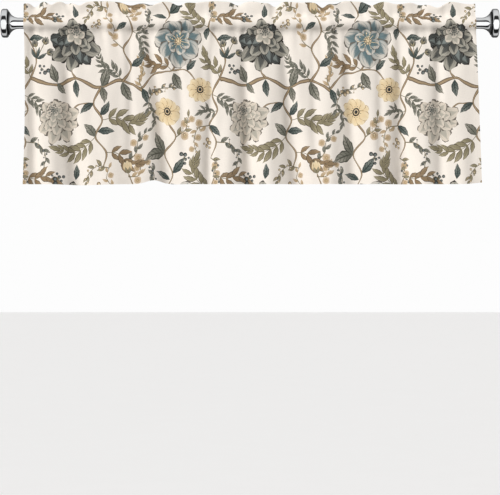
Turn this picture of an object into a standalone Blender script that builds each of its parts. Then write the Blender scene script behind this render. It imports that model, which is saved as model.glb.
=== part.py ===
"""Window valance on a curtain rod.

One panel of printed cotton is turned over at the top and stitched across twice. That leaves a soft ruffled
heading above a pocket, and a round steel rod runs through the pocket. A trumpet finial plugs each end of it.

Metres, +Z up, +X along the rod, the room on the -Y side. The origin is the rod's axis at its middle.
"""

import math
from collections import namedtuple

import bmesh
import bpy
import numpy as np

# Rod and finials
ROD_RADIUS = 0.0140
ROD_WALL = 0.0012
ROD_LENGTH = 1.1200
ROD_SIDES = 28
SEAT_GAP = 0.0003            # left between two pieces that touch
SPIGOT_LENGTH = 0.0250       # the finial's plug inside the rod
NECK_LENGTH = 0.0273         # straight part of the finial, as thick as the rod
FLARE_ARC = 0.0260           # radius of the hollow curve from the neck to the flare's rim
FLARE_REACH = 0.0240         # length of that curve along the rod
GROOVE_WIDTH = 0.0022
GROOVE_DEPTH = 0.0040
DISC_RADIUS = 0.0365
DISC_THICKNESS = 0.0170
DISC_ROUND = 0.0050          # rounding of the disc's two rims
DISC_CROWN = 0.0006          # how far the disc's face stands out at its middle

# Cloth, hung
SHEET = 0.0012               # one layer
LAYER_GAP = 0.0004           # between two layers where they are sewn together
HEM_DEPTH = 0.0250           # doubled cloth along the lower edge
SIDE_HEM = 0.0120            # doubled cloth along each side
HEM_LEVEL = -0.4090          # lower edge
SEAM_LEVEL = -0.0190         # pocket's lower seam, just under the rod
SEAM_HEIGHT = 0.0024
HEAD_SEAM_LEVEL = 0.0171     # pocket's upper seam, just over the rod
HEADING_LEVEL = 0.0545       # the heading's upper edge, where it doesn't dip
LEFT_EDGE = -0.5760
LEFT_WAIST = 0.0055          # how far the left edge draws in half way down
RIGHT_EDGE = 0.5710
RIGHT_FLARE = 0.0165         # how far the right edge swings out at the hem
POCKET_RADIUS = 0.0153       # inside of the pocket where it rests on the rod
POCKET_SLACK = 0.0012        # more room in front, behind and below
SEAM_SETBACK = -0.0070       # the lower seam, in front of the rod's axis
BELLY = 0.0060               # how far the skirt swells out again under the seam
BELLY_FALL = 0.0550          # drop in which it does so, gently at first
GATHER_DEPTH = 0.0048        # puckers along the pocket
GATHER_FALL = 0.0650         # drop in which they die out in the skirt
HEADING_SPREAD = 0.0034      # between the heading's two layers at half height
FOLD_ROUND = 0.0016          # height of the heading's rounded top fold
STATIONS = 96                # steps across the width

# Share of the skirt's drop at which its rows lie, from the hem up; the first three bound the hem.
SKIRT_ROWS = (1.0, 0.938, 0.930, 0.72, 0.50, 0.30, 0.14, 0.05, 0.0)
POCKET_ANGLES = (135.0, 90.0, 45.0)   # round the rod from straight up, in degrees
HEADING_ROWS = (0.0, 0.5)             # share of the heading's height

# Each fold runs from the seam to the hem: its place, half width and depth. Below 0 it swells to the room.
Fold = namedtuple("Fold", "x_seam x_hem half_seam half_hem deep_seam deep_middle deep_hem")
FOLDS = (
    Fold(-0.551, -0.545, 0.013, 0.017, 0.0035, 0.0080, 0.0090),
    Fold(-0.510, -0.500, 0.018, 0.024, -0.0010, -0.0045, -0.0070),
    Fold(-0.473, -0.436, 0.012, 0.025, 0.0045, 0.0130, 0.0180),
    Fold(-0.372, -0.358, 0.030, 0.040, -0.0010, -0.0050, -0.0080),
    Fold(-0.306, -0.300, 0.009, 0.012, 0.0035, 0.0040, 0.0020),
    Fold(-0.257, -0.203, 0.010, 0.030, 0.0045, 0.0150, 0.0250),
    Fold(-0.188, -0.160, 0.009, 0.014, 0.0040, 0.0045, 0.0010),
    Fold(-0.140, -0.138, 0.018, 0.020, -0.0010, -0.0050, -0.0070),
    Fold(-0.096, -0.104, 0.009, 0.012, 0.0030, 0.0060, 0.0065),
    Fold(-0.056, -0.054, 0.018, 0.022, -0.0010, -0.0050, -0.0080),
    Fold(-0.016, 0.002, 0.011, 0.022, 0.0045, 0.0130, 0.0180),
    Fold(0.040, 0.052, 0.018, 0.022, -0.0010, -0.0050, -0.0080),
    Fold(0.082, 0.122, 0.011, 0.026, 0.0040, 0.0130, 0.0190),
    Fold(0.158, 0.168, 0.009, 0.013, 0.0035, 0.0040, 0.0010),
    Fold(0.198, 0.204, 0.018, 0.024, -0.0010, -0.0050, -0.0080),
    Fold(0.243, 0.266, 0.010, 0.023, 0.0035, 0.0100, 0.0130),
    Fold(0.298, 0.322, 0.016, 0.022, -0.0010, -0.0040, -0.0060),
    Fold(0.328, 0.332, 0.009, 0.012, 0.0030, 0.0035, 0.0010),
    Fold(0.380, 0.388, 0.011, 0.028, 0.0045, 0.0150, 0.0230),
    Fold(0.436, 0.446, 0.018, 0.022, -0.0010, -0.0050, -0.0070),
    Fold(0.475, 0.484, 0.010, 0.014, 0.0030, 0.0060, 0.0060),
    Fold(0.530, 0.540, 0.020, 0.026, -0.0010, -0.0040, -0.0070),
)

# Where the heading's edge dips, how far, over which half width, and how far it leans back (+Y) there.
Dip = namedtuple("Dip", "x drop half lean")
DIPS = (
    Dip(-0.576, 0.0060, 0.014, -0.003),
    Dip(-0.546, 0.0150, 0.013, 0.007),
    Dip(-0.505, 0.0085, 0.012, -0.005),
    Dip(-0.465, 0.0070, 0.012, 0.005),
    Dip(-0.434, 0.0105, 0.015, -0.004),
    Dip(-0.302, 0.0100, 0.024, 0.006),
    Dip(-0.250, 0.0100, 0.020, -0.005),
    Dip(-0.183, 0.0100, 0.016, 0.006),
    Dip(-0.140, 0.0045, 0.022, -0.004),
    Dip(-0.031, 0.0105, 0.015, 0.006),
    Dip(0.033, 0.0045, 0.018, -0.005),
    Dip(0.064, 0.0140, 0.014, 0.007),
    Dip(0.140, 0.0040, 0.036, -0.004),
    Dip(0.184, 0.0150, 0.013, 0.007),
    Dip(0.214, 0.0075, 0.016, -0.004),
    Dip(0.308, 0.0100, 0.017, 0.006),
    Dip(0.376, 0.0075, 0.028, -0.005),
    Dip(0.434, 0.0090, 0.022, 0.005),
    Dip(0.476, 0.0165, 0.020, -0.006),
    Dip(0.560, 0.0065, 0.034, 0.004),
)

# Where the lower edge is drawn up (or hangs lower), how far and over which half width.
Lift = namedtuple("Lift", "x rise half")
LIFTS = (
    Lift(-0.419, -0.0025, 0.060),
    Lift(-0.244, 0.0100, 0.026),
    Lift(0.592, 0.0040, 0.030),
)

# Puckers that the gathering leaves along the pocket: sines of unlike length that never line up.
Pucker = namedtuple("Pucker", "length share phase")
PUCKERS = (
    Pucker(0.0430, 0.50, 0.4),
    Pucker(0.0610, 0.32, 2.1),
    Pucker(0.1030, 0.18, 4.0),
)

COTTON = (0.90, 0.85, 0.79, 1.0)
CHROME = (0.80, 0.81, 0.82, 1.0)


def clear_scene():
    for thing in list(bpy.data.objects):
        bpy.data.objects.remove(thing, do_unlink=True)


def material(name, colour, roughness, metallic):
    """One Principled finish."""
    finish = bpy.data.materials.new(name)
    finish.use_nodes = True
    shader = finish.node_tree.nodes["Principled BSDF"]
    shader.inputs["Base Color"].default_value = colour
    shader.inputs["Roughness"].default_value = roughness
    shader.inputs["Metallic"].default_value = metallic
    finish.diffuse_color = colour
    return finish


def mesh_object(name, mesh, finish, smooth_degrees):
    """Puts a mesh into the scene, shaded smooth up to the given crease angle."""
    piece = bpy.data.objects.new(name, mesh)
    bpy.context.collection.objects.link(piece)
    mesh.materials.append(finish)
    mesh.shade_smooth()
    mesh.set_sharp_from_angle(angle=math.radians(smooth_degrees))
    return piece


def turned_mesh(name, profile, sides):
    """Spins a profile of (distance along X, radius) pairs once round the X axis."""
    closed = profile[0] == profile[-1]
    points = profile[:-1] if closed else profile
    work = bmesh.new()
    ring = [work.verts.new((along, 0.0, radius)) for along, radius in points]
    edges = [work.edges.new(pair) for pair in zip(ring, ring[1:])]
    if closed:
        edges.append(work.edges.new((ring[-1], ring[0])))
    bmesh.ops.spin(work, geom=ring + edges, cent=(0, 0, 0), axis=(1, 0, 0), angle=math.tau, steps=sides)
    bmesh.ops.remove_doubles(work, verts=work.verts[:], dist=1e-6)
    bmesh.ops.recalc_face_normals(work, faces=work.faces[:])
    mesh = bpy.data.meshes.new(name)
    work.to_mesh(mesh)
    work.free()
    return mesh


def arc(centre, radius, start, end, steps):
    """Points of a circle's arc in the profile plane, angles in degrees from the X axis."""
    angles = [math.radians(start + (end - start) * step / steps) for step in range(steps + 1)]
    return [(centre[0] + radius * math.cos(a), centre[1] + radius * math.sin(a)) for a in angles]


def build_rod(finish):
    """A tube, open at both ends: a rectangle beside the axis, spun round it."""
    half = ROD_LENGTH / 2
    bore = ROD_RADIUS - ROD_WALL
    corners = [(-half, bore), (half, bore), (half, ROD_RADIUS), (-half, ROD_RADIUS), (-half, bore)]
    mesh_object("rod", turned_mesh("rod", corners, ROD_SIDES), finish, 40)


def finial_profile():
    """From the plug's tip, over the neck and the hollow flare, round the disc's rim to its face's middle."""
    spigot = ROD_RADIUS - ROD_WALL - SEAT_GAP
    chamfer = SPIGOT_LENGTH / 15
    points = [(-SPIGOT_LENGTH, 0.0), (-SPIGOT_LENGTH, spigot - chamfer), (chamfer - SPIGOT_LENGTH, spigot)]
    points += [(SEAT_GAP, spigot), (SEAT_GAP, ROD_RADIUS)]
    sweep = math.degrees(math.asin(FLARE_REACH / FLARE_ARC))
    points += arc((NECK_LENGTH, ROD_RADIUS + FLARE_ARC), FLARE_ARC, -90, -90 + sweep, 5)
    flare_end, flare_radius = points[-1]
    inner_face = flare_end + GROOVE_WIDTH
    points += [(flare_end, flare_radius - GROOVE_DEPTH), (inner_face, flare_radius - GROOVE_DEPTH)]
    rim = DISC_RADIUS - DISC_ROUND
    outer_face = inner_face + DISC_THICKNESS
    points += arc((inner_face + DISC_ROUND, rim), DISC_ROUND, 180, 90, 3)
    points += arc((outer_face - DISC_ROUND, rim), DISC_ROUND, 90, 0, 3)
    points += [(outer_face + DISC_CROWN, 0.0)]
    return points


def build_finials(finish):
    """The same finial at both ends, its origin at the rod's end, the left one turned half round."""
    mesh = turned_mesh("finial", finial_profile(), ROD_SIDES)
    for side, turn in ((1, 0.0), (-1, math.pi)):
        name = "finial_right" if side > 0 else "finial_left"
        piece = mesh_object(name, mesh if side > 0 else mesh.copy(), finish, 35)
        piece.location.x = side * ROD_LENGTH / 2
        piece.rotation_euler.z = turn


def grid_points(x, y, z):
    """One array of points from three arrays that may leave out a direction."""
    return np.stack(np.broadcast_arrays(x, y, z), axis=-1)


def bell(x, centre, half):
    """A soft bump: 1 at its centre, about a third at its half width."""
    return np.exp(-((x - centre) / half) ** 2)


def puckers(x):
    """The pocket's small gathers, from 0 to 1."""
    wave = sum(row.share * np.sin(math.tau * x / row.length + row.phase) for row in PUCKERS)
    return 0.5 + 0.5 * wave


def fold_depth(x, fall):
    """How far the folds push the cloth back, with fall 0 at the seam and 1 at the hem.

    Each trough is a bell across the width. Its place and half width go evenly from seam to hem, and its depth
    is the parabola through the three depths of its row.
    """
    depth = np.zeros(np.broadcast(x, fall).shape)
    for row in FOLDS:
        centre = row.x_seam + (row.x_hem - row.x_seam) * fall
        half = row.half_seam + (row.half_hem - row.half_seam) * fall
        deep = row.deep_seam * (1 - fall) * (1 - 2 * fall)
        deep = deep + row.deep_middle * 4 * fall * (1 - fall) + row.deep_hem * fall * (2 * fall - 1)
        depth += deep * bell(x, centre, half)
    return depth


def across(share, z):
    """Place along the rod at a share of the width, between the two side edges at height z."""
    down = (HEADING_LEVEL - z) / (HEADING_LEVEL - HEM_LEVEL)
    left = LEFT_EDGE + LEFT_WAIST * np.sin(math.pi * down)
    right = RIGHT_EDGE + RIGHT_FLARE * down
    return left + (right - left) * share


def skirt(share, fall):
    """Middle of the single layer below the pocket: the belly under the seam, the folds and dying puckers."""
    x = across(share, SEAM_LEVEL + (HEM_LEVEL - SEAM_LEVEL) * fall)
    lower = HEM_LEVEL + sum(row.rise * bell(x, row.x, row.half) for row in LIFTS)
    top = SEAM_LEVEL - SEAM_HEIGHT / 2
    z = top + (lower - top) * fall
    drop = top - z
    y = SEAM_SETBACK - BELLY * (1 - np.exp(-(drop / BELLY_FALL) ** 2)) + fold_depth(x, fall)
    y = y + GATHER_DEPTH * puckers(x) * np.exp(-drop / GATHER_FALL)
    return grid_points(x, y, z)


def pocket(share, angle, side):
    """Middle of the layer round the rod, in front (side -1) or behind (+1), at an angle from straight up.

    It is tight over the rod and looser further round, by the slack and the puckers.
    """
    loose = np.sin(angle / 2) ** 2
    x = across(share, np.zeros_like(angle))
    radius = POCKET_RADIUS + SHEET / 2 + (POCKET_SLACK + GATHER_DEPTH * puckers(x + 0.02 * side)) * loose
    return grid_points(x, side * radius * np.sin(angle), radius * np.cos(angle))


def heading(share, rise, side):
    """Middle of one of the two layers above the upper seam, rise 0 there and 1 at the top fold."""
    x = across(share, HEAD_SEAM_LEVEL)
    top = HEADING_LEVEL - sum(row.drop * bell(x, row.x, row.half) for row in DIPS)
    lean = sum(row.lean * bell(x, row.x, row.half * 1.4) for row in DIPS)
    base = HEAD_SEAM_LEVEL + SEAM_HEIGHT / 2
    z = base + (top - base) * rise
    apart = SHEET + LAYER_GAP + (HEADING_SPREAD - SHEET - LAYER_GAP) * np.sin(math.pi * rise) ** 0.7
    y = lean * rise ** 1.5 + side * apart / 2
    return grid_points(x, y, z)


def cloth_layers():
    """Middles of the front and back layers, as arrays of (station, row, xyz), with the cells that hold cloth.

    The rows run up the section: skirt, lower seam, pocket, upper seam, heading. A row of cells has three
    columns: the front layer, the space between the layers, and the back layer.
    """
    share = np.linspace(0, 1, STATIONS + 1)[:, None]
    fall = np.array(SKIRT_ROWS)[None, :]
    angle = np.radians(POCKET_ANGLES)[None, :]
    rise = np.array(HEADING_ROWS)[None, :]
    lift = np.array([0.0, 0.0, SEAM_HEIGHT])
    sewn = np.array([0.0, SHEET + LAYER_GAP, 0.0])
    skirt_front = skirt(share, fall)
    seam_front = skirt_front[:, -1:] + lift
    head_front = heading(share, np.zeros_like(rise[:, :1]), -1)
    head_back = heading(share, np.zeros_like(rise[:, :1]), 1)
    shoulder = np.full((1, 1), 1.0)
    front = [skirt_front, seam_front, pocket(share, angle, -1), head_front - lift]
    front += [heading(share, rise, -1), heading(share, shoulder, -1)]
    back = [skirt_front + sewn, seam_front + sewn, pocket(share, angle, 1), head_back - lift]
    back += [heading(share, rise, 1), heading(share, shoulder, 1)]
    single, sewn_cells, parted = (1, 0, 0), (1, 1, 1), (1, 0, 1)
    cells = [single] * (len(SKIRT_ROWS) - 1) + [sewn_cells] + [parted] * (len(POCKET_ANGLES) + 1)
    cells += [sewn_cells] + [parted] * len(HEADING_ROWS) + [sewn_cells]
    return np.concatenate(front, axis=1), np.concatenate(back, axis=1), np.array(cells, dtype=bool)


def layer_normals(layer):
    """Unit normals of a layer's grid, pointing to the back, from the steps along both of its directions."""
    width = np.gradient(layer, axis=0)
    height = np.gradient(layer, axis=1)
    normal = np.cross(height, width)
    return normal / np.linalg.norm(normal, axis=-1, keepdims=True)


def cloth_thickness(rows):
    """Layer thickness at each station and row: doubled in the bottom hem and along the two sides."""
    share = np.linspace(0, 1, STATIONS + 1)[:, None]
    from_side = np.minimum(share, 1 - share) * (RIGHT_EDGE - LEFT_EDGE)
    fall = np.zeros((1, rows))
    fall[0, : len(SKIRT_ROWS)] = SKIRT_ROWS
    skirt_row = np.zeros((1, rows), dtype=bool)
    skirt_row[0, : len(SKIRT_ROWS) - 2] = True
    hemmed = (from_side <= SIDE_HEM) & skirt_row
    hemmed = hemmed | (fall * (SEAM_LEVEL - HEM_LEVEL) > SEAM_LEVEL - HEM_LEVEL - HEM_DEPTH)
    return np.where(hemmed, 2 * SHEET, SHEET)


def cloth_points(front, back):
    """The section's four points in each row: both faces of the front layer, then of the back layer."""
    thick = cloth_thickness(front.shape[1])[..., None]
    front_normal = layer_normals(front)
    back_normal = layer_normals(back)
    outer_front = front - front_normal * SHEET / 2
    inner_front = outer_front + front_normal * thick
    inner_back = back - back_normal * SHEET / 2
    outer_back = back + back_normal * SHEET / 2
    points = np.stack([outer_front, inner_front, inner_back, outer_back], axis=2)
    crown = points[:, -1].mean(axis=1, keepdims=True)
    crown[..., 2] += FOLD_ROUND
    narrowing = np.array([0.55, 0.2, 0.2, 0.55])[None, :, None]
    cap = crown + (points[:, -1] - points[:, -1].mean(axis=1, keepdims=True)) * narrowing
    cap[:, (0, 3), 2] -= FOLD_ROUND / 4
    return np.concatenate([points, cap[:, None]], axis=1)


def section_loops(cells):
    """The cells' corner loops, and the edges that have cloth on one side only.

    A point's number in the section is its row times four plus its column. Loops and edges keep the cloth on
    their left, seen with the room on the left and the top upwards.
    """
    loops = []
    for row, column in zip(*np.nonzero(cells)):
        low = row * 4 + column
        loops.append((low, low + 1, low + 5, low + 4))
    edges = {(loop[i], loop[(i + 1) % 4]) for loop in loops for i in range(4)}
    return loops, sorted(edge for edge in edges if edge[::-1] not in edges)


def build_valance(finish):
    """Sweeps the section's outline from station to station and closes both ends with its cells.

    Every side face is split along the same diagonal, from the lower row of one station to the upper row of
    the next, so both faces of a layer bend alike.
    """
    front, back, cells = cloth_layers()
    points = cloth_points(front, back)
    stations, rows = points.shape[:2]
    loops, edges = section_loops(cells)
    size = rows * 4
    faces = []
    for station in range(stations - 1):
        here = station * size
        there = here + size
        for start, end in edges:
            if start <= end:
                faces.append((here + start, here + end, there + end))
                faces.append((here + start, there + end, there + start))
            else:
                faces.append((here + start, here + end, there + start))
                faces.append((here + end, there + end, there + start))
    faces += [tuple(reversed(loop)) for loop in loops]
    faces += [tuple((stations - 1) * size + corner for corner in loop) for loop in loops]
    mesh = bpy.data.meshes.new("valance")
    mesh.from_pydata(points.reshape(-1, 3).tolist(), [], faces)
    work = bmesh.new()
    work.from_mesh(mesh)
    loose = [vert for vert in work.verts if not vert.link_faces]
    bmesh.ops.delete(work, geom=loose, context="VERTS")
    bmesh.ops.recalc_face_normals(work, faces=work.faces[:])
    work.to_mesh(mesh)
    work.free()
    mesh_object("valance", mesh, finish, 60)


def main():
    clear_scene()
    build_valance(material("printed_cotton", COTTON, 0.85, 0.0))
    chrome = material("polished_chrome", CHROME, 0.12, 1.0)
    build_rod(chrome)
    build_finials(chrome)


main()
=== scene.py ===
"""Looks of a window valance on its curtain rod, as a Blender add-on that is run as a script.

The printed cotton is one sheet. It starts with the hem turned up behind the lower edge, goes up the front,
round the rod's front and up the heading, and comes down again behind. Every point of it has a place on the
flat cloth: u across the width and v along the sheet, in millimetres. The print is laid out on the flat cloth
and each of its motifs is cut into the sheet's own mesh.

Metres, +Z up, +X along the rod, the room on the -Y side.
"""

import math
from collections import namedtuple

import bmesh
import bpy
import numpy as np
from bpy.props import FloatProperty, FloatVectorProperty, IntProperty, PointerProperty
from mathutils.geometry import delaunay_2d_cdt
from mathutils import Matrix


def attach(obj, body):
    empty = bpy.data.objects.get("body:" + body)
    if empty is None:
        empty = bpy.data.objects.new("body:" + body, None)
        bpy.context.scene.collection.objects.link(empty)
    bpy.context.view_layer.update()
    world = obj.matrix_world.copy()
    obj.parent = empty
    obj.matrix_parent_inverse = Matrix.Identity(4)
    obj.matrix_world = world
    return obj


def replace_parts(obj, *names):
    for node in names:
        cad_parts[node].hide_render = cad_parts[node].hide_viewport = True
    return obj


bl_info = {
    "name": "Window valance",
    "version": (1, 0, 0),
    "blender": (4, 5, 0),
    "location": "View3D > Sidebar > Valance",
    "description": "Printed rod-pocket valance, its stitching, chrome rod and finials, and a studio stage",
    "category": "Object",
}

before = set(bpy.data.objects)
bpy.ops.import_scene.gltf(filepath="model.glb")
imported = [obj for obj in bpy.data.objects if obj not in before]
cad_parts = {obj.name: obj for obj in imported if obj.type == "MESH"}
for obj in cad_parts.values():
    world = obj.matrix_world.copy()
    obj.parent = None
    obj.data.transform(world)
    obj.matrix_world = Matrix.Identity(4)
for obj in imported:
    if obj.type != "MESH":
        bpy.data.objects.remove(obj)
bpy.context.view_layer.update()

# Cloth as hung, the same values as the solid's
SHEET = 0.0012               # one layer of the solid
LAYER_GAP = 0.0004
HEM_LEVEL = -0.4090
SEAM_LEVEL = -0.0190
SEAM_HEIGHT = 0.0024
SEAM_WANDER = 0.0022         # how far the lower seam strays up and down
HEAD_SEAM_LEVEL = 0.0171
HEADING_LEVEL = 0.0545
LEFT_EDGE = -0.5760
LEFT_WAIST = 0.0055
RIGHT_EDGE = 0.5710
RIGHT_FLARE = 0.0165
POCKET_RADIUS = 0.0153
POCKET_SLACK = 0.0012
SEAM_SETBACK = -0.0070
BELLY = 0.0060
BELLY_FALL = 0.0550
GATHER_DEPTH = 0.0048
GATHER_FALL = 0.0650
HEADING_SPREAD = 0.0034

# Flat cloth, in millimetres
CLOTH_WIDTH = 1270.0         # between the two side folds
HEM_TURN = 25.0              # turned up along the lower edge
SIDE_TURN = 12.0             # turned back along each side, below the pocket
FOLD_ARC = 1.7               # length of cloth that goes round a pressed fold
STEP = 0.8                   # spacing of the surface's own grid
SECTION_COLUMNS = 1400       # places across the width where the section is worked out
HEM_STITCH = 2.0             # from a turned edge to its stitching
OVER_BLEND = 2.0             # how far the hem takes to pass behind a side turn
TAIL_MARGIN = 2.0            # above the lower seam, where the back layer is already kept behind
BAKE_MARGIN = 8.0            # kept free round each side of the cloth in the baking square
TURN_SHORT = 3.0             # from the top of the side turns to the lower seam

# How the seams' corners are rounded: rounds of averaging, how many of them reach the whole cloth, the reach
# of the others from a seam, and the two lengths by the top fold. In millimetres.
SOFT_ROUNDS = 230
SOFT_ROUNDS_ALL = 12
SOFT_REACH = 23.0
TOP_KEPT = 2.5               # cloth beside the top fold that stays sharp
TOP_BLEND = 3.0

# The seams' ripples: their slant, how far the heading's are shifted along, how far they reach down from the
# lower seam and elsewhere, and how much and how near the seam they are held back. In millimetres.
RIPPLE_SLANT = 0.06
RIPPLE_SHIFT = 7.3
RIPPLE_FALL = 40.0
RIPPLE_FALL_SHORT = 14.0
RIPPLE_HELD = 0.45
RIPPLE_HELD_REACH = 2.2

# Where layers meet, in metres
ROD_CLEAR = 0.0154           # least distance of the cloth's face from the rod's axis
ROD_CLEAR_SOFT = 0.0004
TAIL_LENGTH = 0.0030         # of the raw edge below the lower seam
TAIL_APART = 0.0023          # from the front layer to the raw edge behind it
TURN_GAP = 0.0001            # between the layers of a turned edge
PINCH_DEPTH = 0.0002         # of a seam's stitches into the cloth
HEM_PINCH_DEPTH = 0.00022

# Rod and finials
ROD_RADIUS = 0.0140
ROD_WALL = 0.0012
ROD_LENGTH = 1.1200
SEAT_GAP = 0.0003
SPIGOT_LENGTH = 0.0250
NECK_LENGTH = 0.0273
FLARE_ARC = 0.0260
FLARE_REACH = 0.0240
GROOVE_WIDTH = 0.0022
GROOVE_DEPTH = 0.0040
GROOVE_SHADE = 0.0034        # how far along the flare painted shade darkens the metal
DISC_RADIUS = 0.0365
DISC_THICKNESS = 0.0170
DISC_ROUND = 0.0050
DISC_CROWN = 0.0006

# Half the floor's width and depth, in metres
FLOOR_HALF = 40.0

# Each fold runs from the seam to the hem: its place, half width and depth. Below 0 it swells to the room.
Fold = namedtuple("Fold", "x_seam x_hem half_seam half_hem deep_seam deep_middle deep_hem")
FOLDS = (
    Fold(-0.551, -0.545, 0.013, 0.017, 0.0035, 0.0080, 0.0090),
    Fold(-0.510, -0.500, 0.018, 0.024, -0.0010, -0.0045, -0.0070),
    Fold(-0.473, -0.436, 0.012, 0.025, 0.0045, 0.0130, 0.0180),
    Fold(-0.372, -0.358, 0.030, 0.040, -0.0010, -0.0050, -0.0080),
    Fold(-0.306, -0.300, 0.009, 0.012, 0.0035, 0.0040, 0.0020),
    Fold(-0.257, -0.203, 0.010, 0.030, 0.0045, 0.0150, 0.0250),
    Fold(-0.188, -0.160, 0.009, 0.014, 0.0040, 0.0045, 0.0010),
    Fold(-0.140, -0.138, 0.018, 0.020, -0.0010, -0.0050, -0.0070),
    Fold(-0.096, -0.104, 0.009, 0.012, 0.0030, 0.0060, 0.0065),
    Fold(-0.056, -0.054, 0.018, 0.022, -0.0010, -0.0050, -0.0080),
    Fold(-0.016, 0.002, 0.011, 0.022, 0.0045, 0.0130, 0.0180),
    Fold(0.040, 0.052, 0.018, 0.022, -0.0010, -0.0050, -0.0080),
    Fold(0.082, 0.122, 0.011, 0.026, 0.0040, 0.0130, 0.0190),
    Fold(0.158, 0.168, 0.009, 0.013, 0.0035, 0.0040, 0.0010),
    Fold(0.198, 0.204, 0.018, 0.024, -0.0010, -0.0050, -0.0080),
    Fold(0.243, 0.266, 0.010, 0.023, 0.0035, 0.0100, 0.0130),
    Fold(0.298, 0.322, 0.016, 0.022, -0.0010, -0.0040, -0.0060),
    Fold(0.328, 0.332, 0.009, 0.012, 0.0030, 0.0035, 0.0010),
    Fold(0.380, 0.388, 0.011, 0.028, 0.0045, 0.0150, 0.0230),
    Fold(0.436, 0.446, 0.018, 0.022, -0.0010, -0.0050, -0.0070),
    Fold(0.475, 0.484, 0.010, 0.014, 0.0030, 0.0060, 0.0060),
    Fold(0.530, 0.540, 0.020, 0.026, -0.0010, -0.0040, -0.0070),
)

# Where the heading's edge dips, how far, over which half width, and how far it leans back (+Y) there.
Dip = namedtuple("Dip", "x drop half lean")
DIPS = (
    Dip(-0.576, 0.0060, 0.014, -0.003),
    Dip(-0.546, 0.0150, 0.013, 0.007),
    Dip(-0.505, 0.0085, 0.012, -0.005),
    Dip(-0.465, 0.0070, 0.012, 0.005),
    Dip(-0.434, 0.0105, 0.015, -0.004),
    Dip(-0.302, 0.0100, 0.024, 0.006),
    Dip(-0.250, 0.0100, 0.020, -0.005),
    Dip(-0.183, 0.0100, 0.016, 0.006),
    Dip(-0.140, 0.0045, 0.022, -0.004),
    Dip(-0.031, 0.0105, 0.015, 0.006),
    Dip(0.033, 0.0045, 0.018, -0.005),
    Dip(0.064, 0.0140, 0.014, 0.007),
    Dip(0.140, 0.0040, 0.036, -0.004),
    Dip(0.184, 0.0150, 0.013, 0.007),
    Dip(0.214, 0.0075, 0.016, -0.004),
    Dip(0.308, 0.0100, 0.017, 0.006),
    Dip(0.376, 0.0075, 0.028, -0.005),
    Dip(0.434, 0.0090, 0.022, 0.005),
    Dip(0.476, 0.0165, 0.020, -0.006),
    Dip(0.560, 0.0065, 0.034, 0.004),
)

# Where the lower edge is drawn up (or hangs lower), how far and over which half width.
Lift = namedtuple("Lift", "x rise half")
LIFTS = (
    Lift(-0.419, -0.0025, 0.060),
    Lift(-0.244, 0.0100, 0.026),
    Lift(0.592, 0.0040, 0.030),
)

# Puckers along the pocket, in metres: sines of unlike length that never line up.
Pucker = namedtuple("Pucker", "length share phase")
PUCKERS = (
    Pucker(0.0430, 0.50, 0.4),
    Pucker(0.0610, 0.32, 2.1),
    Pucker(0.1030, 0.18, 4.0),
)

# Small ripples that a seam draws into the cloth, in millimetres along it.
RIPPLES = (
    Pucker(57.0, 0.30, 0.9),
    Pucker(41.0, 0.30, 2.6),
    Pucker(28.3, 0.26, 4.4),
    Pucker(21.1, 0.14, 1.7),
)

# Faint creases of the handled cloth: waves across the flat sheet, their lengths in millimetres each way.
Crease = namedtuple("Crease", "length_u length_v phase depth")
CREASES = (
    Crease(61.0, 410.0, 0.5, 0.45),
    Crease(37.0, -290.0, 2.2, 0.28),
    Crease(97.0, 150.0, 3.9, 0.35),
    Crease(-53.0, 95.0, 1.1, 0.16),
)


# ---------------------------------------------------------------- hung cloth

def grid_points(x, y, z):
    """One array of points from three arrays that may leave out a direction."""
    return np.stack(np.broadcast_arrays(x, y, z), axis=-1)


def bell(x, centre, half):
    """A soft bump: e to the minus square of the distance over the half width."""
    return np.exp(-((x - centre) / half) ** 2)


def waves(x, rows):
    """Sum of sines of the rows' lengths and phases, weighted by their shares."""
    return sum(row.share * np.sin(math.tau * x / row.length + row.phase) for row in rows)


def puckers(x):
    """The pocket's small gathers, from 0 to 1."""
    return 0.5 + 0.5 * waves(x, PUCKERS)


def fold_depth(x, fall):
    """How far the folds push the cloth back: a sum of bells whose depth is a parabola from seam to hem."""
    depth = np.zeros(np.broadcast(x, fall).shape)
    for row in FOLDS:
        centre = row.x_seam + (row.x_hem - row.x_seam) * fall
        half = row.half_seam + (row.half_hem - row.half_seam) * fall
        deep = row.deep_seam * (1 - fall) * (1 - 2 * fall)
        deep = deep + row.deep_middle * 4 * fall * (1 - fall) + row.deep_hem * fall * (2 * fall - 1)
        depth += deep * bell(x, centre, half)
    return depth


def across(share, z):
    """Place along the rod at a share of the width: a straight mix of the two side edges at height z."""
    down = (HEADING_LEVEL - z) / (HEADING_LEVEL - HEM_LEVEL)
    left = LEFT_EDGE + LEFT_WAIST * np.sin(math.pi * down)
    right = RIGHT_EDGE + RIGHT_FLARE * down
    return left + (right - left) * share


def skirt(share, fall):
    """Middle of the layer below the pocket: the belly under the seam, the folds and the dying puckers."""
    x = across(share, SEAM_LEVEL + (HEM_LEVEL - SEAM_LEVEL) * fall)
    lower = HEM_LEVEL + sum(row.rise * bell(x, row.x, row.half) for row in LIFTS)
    top = SEAM_LEVEL - SEAM_HEIGHT / 2 + SEAM_WANDER * waves(x * 1000, RIPPLES)
    z = top + (lower - top) * fall
    drop = top - z
    y = SEAM_SETBACK - BELLY * (1 - np.exp(-(drop / BELLY_FALL) ** 2)) + fold_depth(x, fall)
    y = y + GATHER_DEPTH * puckers(x) * np.exp(-drop / GATHER_FALL)
    return grid_points(x, y, z)


def pocket(share, angle, side):
    """Middle of the layer round the rod: a circle that is tight on top and looser further round."""
    loose = np.sin(angle / 2) ** 2
    x = across(share, np.zeros_like(angle))
    radius = POCKET_RADIUS + SHEET / 2 + (POCKET_SLACK + GATHER_DEPTH * puckers(x + 0.02 * side)) * loose
    return grid_points(x, side * radius * np.sin(angle), radius * np.cos(angle))


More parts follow.
